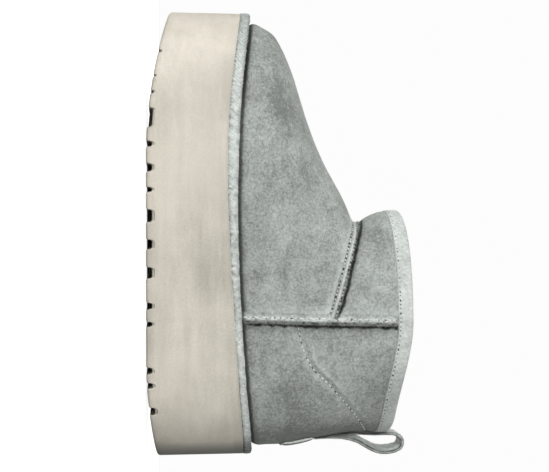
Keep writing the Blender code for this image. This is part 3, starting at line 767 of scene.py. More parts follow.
def foam_finish(colours):
    """Moulded foam: faint streaks along the boot, darker near the ground, painted shade at the heel end."""
    finish = Finish("moulded_foam")
    streaks = finish.noise(150, 4, 0.6, finish.stretched((1.0, 0.10, 1.0)))
    clouds = finish.noise(26, 3, 0.5)
    blush = finish.noise(18, 2, 0.5, finish.stretched((1.0, 0.6, 1.0)))
    pores = finish.noise(900, 2, 0.6)
    tone = (0.60 + (streaks - 0.5) * 1.1 + (clouds - 0.5) * 1.7 + (pores - 0.5) * 0.8
            - finish.value("grime") * 0.8)
    colour = finish.blend(tone, rgba(colours.foam_dark), rgba(colours.foam_light))
    colour = finish.blend((blush - 0.5) * 2.5, colour, rgba(colours.foam_blush))
    # Painted shade: the heel end, where the platform turns away from the lamps, goes towards the darkest
    # foam
    colour = finish.blend((finish.value("grime") - 0.45) * 1.05, colour, rgba(colours.foam_soil))
    height = pores * 0.4 + streaks * 0.5
    return finish.paint(colour, 0.55 + (pores - 0.5) * 0.25, height, 0.25, 0.0003, specular_ior_level=0.35)


def tape_finish(colours, name, rib_scale, base, ribs, mottle):
    """Woven tape: darker between its threads, each thread a little uneven."""
    finish = Finish(name)
    clouds = finish.noise(40, 3, 0.6)
    threads = finish.noise(rib_scale, 3, 0.65)
    tone = base + finish.value("weave") * ribs + (clouds - 0.5) * mottle + (threads - 0.5) * 1.3
    colour = finish.blend(tone, rgba(colours.tape_dark), rgba(colours.tape_light))
    # Painted shade on the shaded side of the welt's cord, in its valley, on the loop's folded edges and
    # along the collar tape's lower edge
    colour = finish.blend(finish.value("crevice"), colour, rgba(colours.crevice))
    return finish.paint(colour, 0.9, threads + clouds * 0.2, 0.4, 0.0003, sheen_weight=0.15,
                        specular_ior_level=0.2)


def thread_finish(colours):
    """Twisted thread."""
    finish = Finish("thread")
    twist = finish.noise(1400, 2, 0.6)
    colour = finish.blend(twist * 1.4 - 0.2, rgba(colours.thread_dark), rgba(colours.thread_light))
    return finish.paint(colour, 0.75, twist, 0.3, 0.0002, specular_ior_level=0.3)


def hole_shade_finish(colours):
    """The dark of a needle hole: painted shade, on a small dark disc."""
    finish = Finish("needle_hole")
    depth = finish.noise(900, 2, 0.6)
    colour = finish.blend(depth, rgba(colours.hole_dark), rgba(colours.hole_light))
    return finish.paint(colour, 1.0, specular_ior_level=0.0)


def fleece_finish(colours):
    """Short curly fleece: pale tips, shaded between the curls."""
    finish = Finish("curly_fleece")
    curls = finish.noise(420, 4, 0.7)
    clouds = finish.noise(50, 3, 0.6)
    tone = 0.3 + finish.value("tuft") * 0.5 + (curls - 0.5) * 1.2 + (clouds - 0.5) * 0.4
    colour = finish.blend(tone, rgba(colours.fleece_dark), rgba(colours.fleece_light))
    return finish.paint(colour, 1.0, curls, 0.9, 0.0012, sheen_weight=0.3, specular_ior_level=0.1)


def socket(tree, name, kind, way="INPUT"):
    return tree.interface.new_socket(name, in_out=way, socket_type=kind)


class Repeat:
    """A tree of geometry nodes with named inputs."""

    def __init__(self, name, inputs):
        self.tree = bpy.data.node_groups.new(name, "GeometryNodeTree")
        socket(self.tree, "Geometry", "NodeSocketGeometry")
        for label, kind in inputs.items():
            socket(self.tree, label, kind)
        socket(self.tree, "Geometry", "NodeSocketGeometry", "OUTPUT")
        self.source = self.tree.nodes.new("NodeGroupInput")
        self.result = self.tree.nodes.new("NodeGroupOutput")

    def given(self, label):
        return self.source.outputs[label]

    def node(self, kind, settings=None, inputs=None):
        node = self.tree.nodes.new(kind)
        for label, value in (settings or {}).items():
            setattr(node, label, value)
        for label, value in (inputs or {}).items():
            if isinstance(value, bpy.types.NodeSocket):
                self.tree.links.new(value, node.inputs[label])
            else:
                node.inputs[label].default_value = value
        return node

    def carried(self, label, kind):
        """A value that the points or faces carry."""
        found = self.node("GeometryNodeInputNamedAttribute", {"data_type": kind}, {"Name": label})
        return found.outputs["Attribute"]

    def end(self, instances):
        """Real geometry with its finish, as the result."""
        real = self.node("GeometryNodeRealizeInstances", inputs={"Geometry": instances})
        smooth = self.node("GeometryNodeSetShadeSmooth", inputs={"Geometry": real.outputs[0]})
        finished = self.node("GeometryNodeSetMaterial", inputs={
            "Geometry": smooth.outputs[0], "Material": self.given("Finish")})
        self.tree.links.new(finished.outputs[0], self.result.inputs[0])
        return self.tree

    @staticmethod
    def bake(tree, source, name, settings):
        """The tree's result on a source object, as a plain mesh object of its own."""
        modifier = source.modifiers.new("repeat", "NODES")
        modifier.node_group = tree
        for item in tree.interface.items_tree:
            if item.in_out == "INPUT" and item.name in settings:
                modifier[item.identifier] = settings[item.name]
        graph = bpy.context.evaluated_depsgraph_get()
        mesh = bpy.data.meshes.new_from_object(source.evaluated_get(graph))
        source.modifiers.remove(modifier)
        mesh.name = name
        piece = bpy.data.objects.new(name, mesh)
        bpy.context.scene.collection.objects.link(piece)
        return piece


def stitch_tree():
    """One short thread at every point, laid along its heading and facing away from the suede."""
    made = Repeat("stitch_row", {
        "Length": "NodeSocketFloat", "Width": "NodeSocketFloat", "Height": "NodeSocketFloat",
        "Finish": "NodeSocketMaterial"})
    heading, facing = made.carried("heading", "FLOAT_VECTOR"), made.carried("facing", "FLOAT_VECTOR")
    lengthwise = made.node("FunctionNodeAlignRotationToVector", {"axis": "X"}, {"Vector": heading})
    upright = made.node("FunctionNodeAlignRotationToVector", {"axis": "Z", "pivot_axis": "X"}, {
        "Rotation": lengthwise.outputs[0], "Vector": facing})
    thread = made.node("GeometryNodeMeshUVSphere", inputs={"Segments": 6, "Rings": 5, "Radius": 0.5})
    shape = made.node("ShaderNodeCombineXYZ", inputs={
        "X": made.given("Length"), "Y": made.given("Width"), "Z": made.given("Height")})
    varied = made.node("ShaderNodeVectorMath", {"operation": "SCALE"}, {
        "Vector": shape.outputs[0], "Scale": made.carried("size", "FLOAT")})
    laid = made.node("GeometryNodeInstanceOnPoints", inputs={
        "Points": made.given("Geometry"), "Instance": thread.outputs["Mesh"],
        "Rotation": upright.outputs[0], "Scale": varied.outputs[0]})
    return made.end(laid.outputs[0])


def hair_tree():
    """Short hairs standing on a surface, leaning at random with a fixed seed."""
    made = Repeat("surface_hairs", {
        "Density": "NodeSocketFloat", "Length": "NodeSocketFloat", "Width": "NodeSocketFloat",
        "Lean": "NodeSocketFloat", "Seed": "NodeSocketInt", "Finish": "NodeSocketMaterial"})
    density = made.node("ShaderNodeMath", {"operation": "MULTIPLY"}, {
        0: made.given("Density"), 1: made.carried("fuzz", "FLOAT")})
    spread = made.node("GeometryNodeDistributePointsOnFaces", inputs={
        "Mesh": made.given("Geometry"), "Density": density.outputs[0], "Seed": made.given("Seed")})
    hair = made.node("GeometryNodeMeshCone", {"fill_type": "NONE"}, {
        "Vertices": 3, "Side Segments": 1, "Radius Top": 0.05, "Radius Bottom": 0.5, "Depth": 1.0})
    least = made.node("ShaderNodeMath", {"operation": "MULTIPLY"}, {0: made.given("Lean"), 1: -1.0})
    ranges = ((least.outputs[0], -HAIR_TURN), (made.given("Lean"), HAIR_TURN))
    low, high = [made.node("ShaderNodeCombineXYZ", inputs={"X": reach, "Y": reach, "Z": turn})
                 for reach, turn in ranges]
    lean = made.node("FunctionNodeRandomValue", {"data_type": "FLOAT_VECTOR"}, {
        "Min": low.outputs[0], "Max": high.outputs[0], "Seed": made.given("Seed")})
    turned = made.node("FunctionNodeRotateRotation", {"rotation_space": "LOCAL"}, {
        "Rotation": spread.outputs["Rotation"], "Rotate By": lean.outputs[0]})
    grown = made.node("FunctionNodeRandomValue", {"data_type": "FLOAT"}, {"Seed": 3})
    grown.inputs[2].default_value, grown.inputs[3].default_value = 0.5, 1.1
    shape = made.node("ShaderNodeCombineXYZ", inputs={
        "X": made.given("Width"), "Y": made.given("Width"), "Z": made.given("Length")})
    varied = made.node("ShaderNodeVectorMath", {"operation": "SCALE"}, {
        "Vector": shape.outputs[0], "Scale": grown.outputs[1]})
    stood = made.node("GeometryNodeInstanceOnPoints", inputs={
        "Points": spread.outputs["Points"], "Instance": hair.outputs["Mesh"],
        "Rotation": turned.outputs[0], "Scale": varied.outputs[0]})
    return made.end(stood.outputs[0])


def stitch_points(rows):
    """An object of bare points from rows of (points, normals), each with its heading, facing and size."""
    places, headings, facings = [], [], []
    for points, normals in rows:
        heading = np.gradient(points, axis=0)
        places.append(points)
        headings.append(heading / np.linalg.norm(heading, axis=1, keepdims=True))
        facings.append(normals)
    places = boot_to_world(np.concatenate(places))
    mesh = bpy.data.meshes.new("stitch_points")
    mesh.from_pydata(places.tolist(), [], [])
    for label, vectors in (("heading", headings), ("facing", facings)):
        attribute = mesh.attributes.new(label, "FLOAT_VECTOR", "POINT")
        attribute.data.foreach_set(
            "vector", directions_to_world(np.concatenate(vectors)).astype(np.float32).ravel())
    sizes = 1 + 0.45 * grain(places / MM, 0.7, 5) + 0.25 * grain(places / MM, 8, 6)
    attribute = mesh.attributes.new("size", "FLOAT", "POINT")
    attribute.data.foreach_set("value", sizes.astype(np.float32))
    source = bpy.data.objects.new("stitch_points", mesh)
    bpy.context.scene.collection.objects.link(source)
    return source


def sewn(name, rows, length, width, height, finish, slot):
    """Rows of stitches as one piece."""
    source = stitch_points(rows)
    piece = Repeat.bake(bpy.data.node_groups.get("stitch_row") or stitch_tree(), source, name, {
        "Length": length * MM, "Width": width * MM, "Height": height * MM, "Finish": finish})
    bpy.data.objects.remove(source)
    settle(piece, slot)


def lap_relief(aside):
    """How a panel rises to a lapped seam on one side of it and sinks on the other, aside in millimetres."""
    under = 0.2 + 0.75 * ease((aside - 3.2) / 1.4)
    return np.where(aside > 4.6, 0.95 * bell(aside - 4.6, 6.5),
                    np.where(aside < -1.2, -0.6 * bell(aside + 2.6, 2.2), under))


def trench(distance, reach):
    """One in the middle of a dark line and nought beside it, with soft but steep edges."""
    return np.exp(-((distance / reach) ** 4))


def above_welt(points):
    """Height of points of the upper above the welt's crest."""
    return points[..., 2] - sole_top(points[..., 0]) - welt_height(points[..., 0])


def welt_shadow(points, wander):
    """The dark line where the upper goes down behind the welt, deepest at the toe."""
    toeward = ease((points[..., 0] - SHADOW_TOE_START) / SHADOW_TOE_LENGTH)
    edge = 2.15 + 0.35 * toeward - 0.3 * wander
    return (0.76 + 0.24 * toeward) * (1 - ease((above_welt(points) - edge) / 1.8 + 0.5))


def upper_relief(u, v):
    """Height of the suede above the upper's plain face, in millimetres, and its tones, painted highlights
    and painted shade.
    """
    points = SKIN.at(u, v)
    along, up = points[..., 0], points[..., 2]
    outer = points[..., 1] > toe_swing(along)
    wander = 0.55 * grain(points, 2.4, 3) + 0.3 * grain(points, 1.2, 4)
    lift = 0.22 * grain(points, 17, 1) + 0.10 * grain(points, 7, 2)
    for dent in DENTS:
        here = bell(along - dent.along, dent.reach_along) * bell(up - dent.up, dent.reach_up)
        lift += np.where(outer == (dent.side > 0), dent.depth * here, 0)
    counter_line = smooth_path(COUNTER_LINE + [COUNTER_BACK], COUNTER_LINE_STEPS)
    counter = distance_from_line(points[..., [0, 2]], counter_line)
    lift += (-0.5 * bell(counter, 1.2) + 0.3 * bell(np.abs(counter) - 3.0, 1.8)
             + 0.25 * bell(counter - COUNTER_EDGE, 0.8))
    # Paler along the counter's stitches and on its edge: wear and a painted highlight on the ridge
    rub_and_highlight = 0.15 * bell(counter, 1.4) + 0.45 * bell(counter - COUNTER_EDGE, 0.7) * ease((66 - along) / 8)
    to_tape = SKIN.at(u, COLLAR_V)[..., 2] - up - BINDING_DROP
    lift += 0.75 * bell(to_tape, 5.0)
    shaft = ease((v - 0.8) / 0.4) * ease((to_tape + 1.0) / 1.0)
    aside = along - side_seam_station(v)
    side_lap = shaft * lap_relief(aside)
    # Paler beside the side seam's lap: wear and a painted highlight
    rub_and_highlight += shaft * 0.45 * bell(aside - 5.0, 3.0)
    # A painted shadow along the side seam, under the lap's turned edge
    crevice = shaft * trench(aside + 2.1 + wander, 1.25)
    below = below_throat(u, v)
    sink = throat_sink(u)
    front = ease((aside - 1.5) / 2.0)
    throat_lap = front * lap_relief(below) * (1 - THROAT_FLATTENED * sink)
    both = (side_lap > 0) & (throat_lap > 0)
    lift += np.where(both, np.maximum(side_lap, throat_lap), side_lap + throat_lap)
    lift -= THROAT_SINK * sink * bell(below - 0.5, 7.0)
    # Paler on the slope below the throat seam: a painted highlight
    rub_and_highlight += front * 0.65 * bell(below - 5.5, 2.6)
    # A painted shadow along the throat seam, under the lap's turned edge
    crevice = np.maximum(crevice, front * trench(below + 2.3 + 0.8 * wander, 1.6 - 0.35 * sink))
    above = above_welt(points)
    lift += -1.3 * bell(above, 1.7) + 0.35 * bell(above - 5.0, 2.8)
    crevice = np.maximum(crevice, welt_shadow(points, wander))
    behind = ease(-aside / 3.0) * ease((v - 0.8) / 0.4)
    toeward = ease((along - SUEDE_TOE_START) / SUEDE_TOE_LENGTH)
    # Darker just above the welt and behind the side seam; painted shade towards the toe and at the heel
    # end, where the upper turns away from the lamps
    grime = 0.3 * bell(above - 1.5, 2.6) + 0.10 * behind + 0.16 * toeward
    grime += SUEDE_HEEL_SHADE * ease((SUEDE_HEEL_SHADE_START - along) / SUEDE_HEEL_SHADE_LENGTH)
    lift *= ease(v / 0.5) * ease((to_tape + 3.6) / 2.4)
    return lift, {"tone": 0.5 * rub_and_highlight - 0.9 * grime + nap_clouds(points), "crevice": crevice}


def nap_clouds(points):
    """Lighter and darker places of the nap, fading out over the middle of the boot."""
    along, up = points[..., 0], points[..., 2]
    total = np.zeros(along.shape)
    for side, shift in ((1, 0.0), (-1, INNER_CLOUD_SHIFT)):
        here = ease(side * (points[..., 1] - toe_swing(along)) / 10.0)
        for cloud in CLOUDS:
            total += cloud.tone * here * (bell(along - cloud.along + shift, cloud.reach_along)
                                          * bell(up - cloud.up, cloud.reach_up))
    return total


def upper_columns(v):
    """u of the upper's columns at each v: close together beside the side seams, which they follow."""
    near = SEAM_DENSE_WIDTH * np.linspace(-1, 1, SEAM_DENSE_COLUMNS)
    even = np.linspace(0, 1, UPPER_COLUMNS, endpoint=False)
    seam, clear = SEAM_COLUMN, SEAM_DENSE_WIDTH + 0.001
    even = even[(np.abs(even - seam) > clear) & (np.abs(even - 1 + seam) > clear)]
    columns = np.sort(np.concatenate([even, seam + near, 1 - seam + near]))
    rows = []
    for level in v:
        station = np.array([side_seam_station(level)])
        outer = SKIN.u_at(station, level, 1)[0]
        inner = SKIN.u_at(station, level, -1)[0]
        rows.append(np.interp(columns, [0, seam, 1 - seam, 1], [0, outer, inner, 1]))
    return np.array(rows)


def inside_levels(high, low):
    """Levels of an inner face from top to bottom, close together in the bend under the throat."""
    bend_low, bend_high = THROAT_INSIDE
    return np.concatenate([
        np.linspace(high, bend_high, PLAIN_INSIDE_ROWS, endpoint=False),
        np.linspace(bend_high, bend_low, THROAT_INSIDE_ROWS, endpoint=False),
        np.linspace(bend_low, low, PLAIN_INSIDE_ROWS + 2)])


def upper_piece(colours):
    """The suede upper: its outer face with soft creases, its rim and its inner face."""
    levels = np.linspace(0, COLLAR_V, int(COLLAR_V) * UPPER_ROWS_PER_LEVEL + 1)
    for low, high, step in UPPER_DENSE_ROWS:
        levels = np.concatenate([levels[(levels < low) | (levels > high)], np.arange(low, high, step)])
    levels = np.sort(levels)
    u = upper_columns(levels)
    v = np.broadcast_to(levels[:, None], u.shape)
    lift, values = upper_relief(u, v)
    outer = SKIN.at(u, v, lift)
    inner_levels = inside_levels(COLLAR_V, 0.0)
    inner_u = upper_columns(inner_levels)
    inner_v = np.broadcast_to(inner_levels[:, None], inner_u.shape)
    inner = SKIN.at(inner_u, inner_v, np.full(inner_u.shape, -WALL))
    inner[0, :, 2] = outer[-1, :, 2]
    inner[-1, :, 2] = sole_top(inner[-1, :, 0]) + GAP
    points = np.concatenate([outer, inner])
    plain = np.zeros(inner_u.shape)
    values = {label: np.concatenate([numbers, plain]) for label, numbers in values.items()}
    faces = grid_faces(len(points), u.shape[1], wrap_rows=True)
    piece = add_piece("suede_upper", points, faces, suede_of(colours), values)
    settle(piece, "suede", "upper")


def curls(places, size, seed):
    """Heights of curly fleece from 0 to 1: ridges that wind about, with finer ones on them."""
    coarse, fine = np.abs(grain(places, size, seed)), np.abs(grain(places, size / 2, seed + 1))
    return np.clip(1.1 - 1.5 * coarse, 0, 1) * 0.65 + np.clip(1.1 - 1.5 * fine, 0, 1) * 0.35


def lining_piece(sizes, finish):
    """Fleece over the inner face, from the footbed to the collar tape."""
    columns = np.arange(LINING_COLUMNS) / LINING_COLUMNS
    low_v, depth = LINING_LOW_V, sizes.fleece_depth / MM
    top = SKIN.v_at(columns, SKIN.at(columns, COLLAR_V)[:, 2] - BINDING_DROP_INSIDE - 0.6)
    share = np.linspace(0, 1, LINING_ROWS)
    v = low_v + (top[None, :] - low_v) * share[:, None]
    u = np.broadcast_to(columns, v.shape)
    base = SKIN.at(u, v, np.full(v.shape, -WALL - GAP))
    tuft = curls(base, CURL_SIZE, 8)
    edge = np.sqrt(np.clip(np.minimum(share, 1 - share) * 14, 0, 1))[:, None]
    face = SKIN.at(u, v, -WALL - GAP - depth * (0.25 + 0.75 * edge) - LINING_CURL * edge * tuft)
    shares = (inside_levels(top[0], low_v) - low_v) / (top[0] - low_v)
    against = base[np.round(shares * (LINING_ROWS - 1)).astype(int)]
    points = np.concatenate([face, against])
    values = {"tuft": np.concatenate([tuft, np.zeros(against.shape[:2])])}
    faces = grid_faces(len(points), LINING_COLUMNS, wrap_rows=True)
    piece = add_piece("fleece_lining", points, faces, finish, values)
    settle(piece, "fleece")


def footbed_piece(finish):
    """The fleece footbed on the platform."""
    columns = np.arange(FOOTBED_COLUMNS) / FOOTBED_COLUMNS
    edge = SKIN.at(columns, 0.0) - (WALL + 2 * GAP) * SKIN.level_normal(columns, 0.0)
    mirror = np.concatenate([[0], np.arange(FOOTBED_COLUMNS - 1, 0, -1)])
    spine = (edge + edge[mirror]) / 2
    top = [(share, GAP + INSOLE_THICKNESS) for share in np.linspace(0.06, 1.0, FOOTBED_TOP_ROWS)]
    rows = []
    for share, lift in FOOTBED_EDGE + top:
        row = edge + (spine - edge) * share
        row[:, 2] = sole_top(row[:, 0]) + lift
        rows.append(row)
    points = np.array(rows)
    tuft = curls(points, CURL_SIZE, 11)
    tuft[:FOOTBED_PLAIN_ROWS] = 0
    tuft[-1] = (tuft[-1] + tuft[-1][mirror]) / 2
    points[..., 2] += FOOTBED_CURL * tuft
    faces = grid_faces(len(points), FOOTBED_COLUMNS)
    piece = add_piece("fleece_footbed", points, faces, finish, {"tuft": tuft})
    settle(piece, "fleece", "insole")


def sole_stations():
    """Stations from heel to toe: even along the outline, and close together at the grooves."""
    along, across = half_loop(SOLE_OUTLINE, 1)
    walked = np.concatenate([[0], np.cumsum(np.hypot(np.diff(along), np.diff(across)))])
    even = np.interp(np.linspace(0, walked[-1], SOLE_STATIONS), walked, along)
    near = []
    for groove in GROOVES:
        half = groove.width / 2
        near += list(groove.along - half + GROOVE_STEPS) + list(groove.along + half - GROOVE_STEPS)
    stations = np.array(sorted(set(np.round(np.concatenate([even, near]), 3))))
    keep = np.concatenate([[True], np.diff(stations) > LEAST_STATION_GAP])
    return stations[keep]


def groove_depth(along):
    """How deep the tread is cut at a station, from 0 to 1."""
    depth = np.zeros(np.shape(along))
    for groove in GROOVES:
        half = groove.width / 2
        inside = half - np.abs(along - groove.along)
        cut = np.where(inside > 0, 0.7 * ease(inside / 0.35 + 0.35) + 0.3 * ease(inside / 1.1),
                       0.10 * ease(1 + inside / 0.9))
        depth = np.maximum(depth, groove.depth * cut)
    return np.clip(depth, 0, 1)


def sole_piece(sizes, finish):
    """The platform: top, wall with soft edges, and the grooved tread."""
    stations = sole_stations()
    sides = []
    for side in (1, -1):
        along, across = half_loop(SOLE_OUTLINE, side)
        sides.append(np.stack([stations, np.interp(stations, along[::-1], across[::-1])], axis=1))
    outer, inner = sides
    loop = np.concatenate([outer, inner[-2:0:-1]])
    spine_along = np.clip(loop[:, 0], SOLE_SPINE_BACK, SOLE_SPINE_FRONT)
    middle = np.interp(spine_along, stations, (outer[:, 1] + inner[:, 1]) / 2)
    spine = np.stack([spine_along, middle], axis=1)
    ray = np.linalg.norm(spine - loop, axis=1, keepdims=True)
    top_round, tread_round = sizes.sole_top_round / MM, sizes.sole_tread_round / MM

    def row(inset, height, share=0.0):
        """Points in from the edge by a length and a share of the way to the spine."""
        part = np.clip(share + inset / ray, 0, 1)
        plan = loop + (spine - loop) * part
        return np.concatenate([plan, height(plan[:, 0])[:, None]], axis=1)

    def tread(along, cut=1.0):
        return sole_bottom(along) + TREAD_DEPTH * cut * groove_depth(along)

    rows = [row(0, sole_top, 1.0), row(18.0, sole_top), row(6.0, sole_top)]
    for turn in np.linspace(90, 10, SOLE_TOP_ROUND_ROWS):
        inset = top_round * (1 - math.cos(math.radians(turn)))
        drop = top_round * (1 - math.sin(math.radians(turn)))
        rows.append(row(inset, lambda along: sole_top(along) - drop))
    wall_start = len(rows)
    for share in np.linspace(1, 0, SOLE_WALL_ROWS):
        rows.append(row(0, lambda along: sole_bottom(along) + SOLE_WALL_LOW + share * (
            sole_top(along) - 1.3 * top_round - sole_bottom(along) - SOLE_WALL_LOW)))
    wall_end = len(rows)
    for share in np.linspace(0.86, 0.34, SOLE_LOW_WALL_ROWS):
        rows.append(row(0, lambda along: tread(along) + (
            sole_bottom(along) + SOLE_WALL_LOW - tread(along)) * share))
    for turn in np.linspace(10, 90, SOLE_TREAD_ROUND_ROWS):
        inset = tread_round * (1 - math.cos(math.radians(turn)))
        rise = tread_round * (1 - math.sin(math.radians(turn)))
        rows.append(row(inset, lambda along: tread(along) + rise))
    rows += [row(3.0, tread)] + [row(0, tread, share) for share in TREAD_SHARES]
    rows += [row(0, lambda along: tread(along, 0.0), share) for share in TREAD_RIB_SHARES]
    points = np.array(rows)
    above = points[..., 2] - sole_bottom(points[..., 0])
    under_welt = sole_top(points[..., 0]) - points[..., 2]
    band = ease((SOLE_BAND + 0.3 - under_welt) / 0.6)
    grime = 0.35 * bell(above, 3.0) * (0.6 + 0.4 * grain(points, 6, 21)) + 0.16 * band
    # The given paler and darker lengths; the paler one near the heel is a painted highlight
    grime += sum(shade.grime * bell(points[..., 0] - shade.along, shade.reach) for shade in SOLE_SHADES)
    # Painted shade at the heel end, where the platform's curve turns away from the lamps
    grime += HEEL_END_SHADE * ease((HEEL_END_SHADE_START - points[..., 0]) / HEEL_END_SHADE_LENGTH)
    wall = slice(wall_start, wall_end)
    inward = np.sign(points[wall, :, 1] - toe_swing(points[wall, :, 0]))
    points[wall, :, 1] += 0.10 * grain(points[wall], 30, 20) - 0.18 * band[wall] * inward
    faces = grid_faces(len(points), len(loop))
    piece = add_piece("platform_sole", points, faces, finish, {"grime": grime})
    settle(piece, "platform_foam", "sole")


def welt_piece(sizes, finish):
    """The woven tape round the sole's edge: two lanes of slanting ribs that meet in the middle."""
    columns = np.arange(WELT_COLUMNS) / WELT_COLUMNS
    turn = np.linspace(WELT_FIRST_TURN, WELT_LAST_TURN, WELT_ROUND_STEPS)
    section = [(share, 0.0) for share in WELT_UNDERSIDE]
    for t in np.radians(turn):
        across = WELT_REACH * math.copysign(abs(math.cos(t)) ** 0.8, math.cos(t))
        height = WELT_CREST / 2 * (1 + math.copysign(abs(math.sin(t)) ** 0.9, t))
        section.append((WELT_MIDDLE + across, height))
    section += WELT_VALLEY
    turn = np.pad(turn, (len(WELT_UNDERSIDE), len(WELT_VALLEY)), mode="edge")
    edge = plan_loop(SOLE_OUTLINE, columns)
    roll_v = LEVEL_INDEX["roll"]
    rows = []
    for share, height in section:
        v = roll_v * height
        inner = SKIN.at(columns, v) + WELT_CLEARANCE * SKIN.level_normal(columns, v)
        plan = inner[:, :2] + (edge - inner[:, :2]) * share
        settled = WELT_SETTLED * (1 - height) * (share > WELT_MIDDLE)
        up = sole_top(plan[:, 0]) + GAP - settled + welt_height(plan[:, 0]) * height
        rows.append(np.concatenate([plan, up[:, None]], axis=1))
    points = np.array(rows)
    ring = points[len(points) // 2]
    run = np.linalg.norm(np.roll(ring, -1, axis=0) - ring, axis=1)
    walked = np.concatenate([[0], np.cumsum(run)[:-1]])
    pitch = sizes.weave_pitch / MM
    cycles = round(run.sum() / pitch)
    lane = np.clip((turn - 30) / 85, -1, 1)[:, None]
    toeward = ease((points[..., 0] - WELT_TOE_START) / WELT_TOE_LENGTH)
    heelward = ease((WELT_HEEL_START - points[..., 0]) / WELT_HEEL_LENGTH)
    slant = 2.1 + 0.5 * toeward
    phase = cycles * walked[None, :] / run.sum() + slant * np.abs(lane)
    phase = phase + 0.55 * grain(points, 4.2, 33) + 0.22 * grain(points, 1.4, 36)
    rib = 0.5 + 0.5 * np.cos(2 * math.pi * phase)
    uneven = 0.8 + 0.55 * grain(points, 1.4, 34) + 0.25 * grain(points, 6, 37)
    rib = rib ** 0.8 * (1 - 0.5 * bell(lane, 0.06)) * uneven
    worn = 0.68 * (1 - toeward) * (1 - 0.5 * heelward)
    rib += worn * (0.5 - rib + 0.55 * grain(points, 1.5, 38) + 0.45 * grain(points, 2.8, 39))
    around = np.roll(points, -1, axis=1) - np.roll(points, 1, axis=1)
    normal = np.cross(around, np.gradient(points, axis=0))
    normal /= np.linalg.norm(normal, axis=2, keepdims=True)
    shown = np.clip((np.array([share for share, _ in section])[:, None] - 0.5) / 0.3, 0, 1)
    depth = sizes.weave_depth / MM * (1 + 0.7 * bell(turn + 60, 30))[:, None]
    points = points + normal * (shown * (depth * (rib - 0.6) + 0.10 * grain(points, 5, 31)))[..., None]
    # Painted shade: the cord's upper side and the valley behind it, and its lower side, more towards the
    # heel
    crevice = (0.26 * ease((turn - 5) / 65) + 0.4 * ease((turn - 80) / 45))[:, None]
    crevice = crevice + ease((-16 - turn) / 42)[:, None] * (0.16 + 0.36 * heelward)
    # Dark specks along the cord's foot: painted shade in the gap to the platform
    specks = bell(turn + 84, 18)[:, None] * ease(1.6 * grain(points, 1.7, 35))
    fuzz = bell(turn + 75, 25) + 0.35 * ease((turn + 90) / 20) * ease((115 - turn) / 20)
    # Painted shade at the heel end, where the welt turns away from the lamps; the toe end is duller
    heel_end_shade = ease((WELT_HEEL_SHADE_START - points[..., 0]) / WELT_HEEL_SHADE_LENGTH)
    dull_and_shade = 0.6 * ease((points[..., 0] - WELT_DULL_START) / WELT_DULL_LENGTH) + 0.8 * heel_end_shade
    values = {"weave": rib * (0.4 + 0.6 * shown) - dull_and_shade, "crevice": crevice + 0.5 * specks + 0.5 * heel_end_shade,
              "fuzz": np.broadcast_to(fuzz[:, None], rib.shape)}
    faces = grid_faces(len(points), WELT_COLUMNS, wrap_rows=True)
    piece = add_piece("woven_welt", points, faces, finish, values)
    settle(piece, "woven_tape", "welt")


def lap_section():
    """The lapped seam's section with its edges rounded."""
    return smooth_path(LAP_SECTION + LAP_SECTION[:1], SEAM_SECTION_STEPS + 1)[:-1]


def lap_lift(section, places, seed, sewn_at):
    """Heights of a seam's section: lumpy at the raw edge, pressed down along its stitches."""
    lump = 0.7 * grain(places, 1.8, seed) + 0.3 * grain(places, 0.9, seed + 1)
    shown = ease((section[:, 1] - 0.7) / 0.5)
    raw = 0.2 + 0.8 * bell(section[:, 0] + 0.5, 1.4)
    press = sum(-0.6 * bell(section[:, 0] - aside, 0.6) for aside in sewn_at)
    return section[:, 1] + shown * (lump * raw + press)


def lap_piece(name, rings, section, places, finish, seed, cord, cord_at, pit_shading, turned, shadow):
    """A lapped seam: pale along its back, from wear and a painted highlight, and along its cord; painted
    shade in the pits of its turned edge, on its turned half and beneath it.
    """
    shown = ease((section[:, 1] - 0.8) / 0.6)
    edge = bell(section[:, 0] + 0.35, 1.1)
    rub_and_highlight = 0.9 * bell(section[:, 0] - 1.8, 1.6) * shown + 0.4 * grain(places, 1.3, seed)
    # Painted shade under the turned edge
    crevice = ease((-0.5 - section[:, 0]) / 0.7) * ease((2.3 - section[:, 1]) / 1.1)
    # Painted shade in the pits along the raw edge
    pit_shade = pit_shading * edge * ease((pit_shading - 0.9 - grain(places, 0.7 + 1.2 * pit_shading, seed + 1)) / 0.35)
    # Painted shade on the turned half
    under = turned * bell(section[:, 0] + 0.2, 1.0) * (1 + 0.9 * grain(places, 0.8, seed + 4))
    shadow = np.maximum(shadow, under)
    fuzz = (0.06 + edge * shown) * (1 - pit_shade) + 0.5 * cord * bell(section[:, 0] - cord_at, 0.8)
    raw = cord * bell(section[:, 0] - cord_at, 0.65) * (0.8 + 0.5 * grain(places, 1.1, seed + 2))
    return strip(name, rings, finish, {
        "tone": 0.5 * rub_and_highlight, "raw": raw, "crevice": np.maximum(np.maximum(crevice, pit_shade), shadow),
        "fuzz": np.broadcast_to(fuzz, rub_and_highlight.shape)})


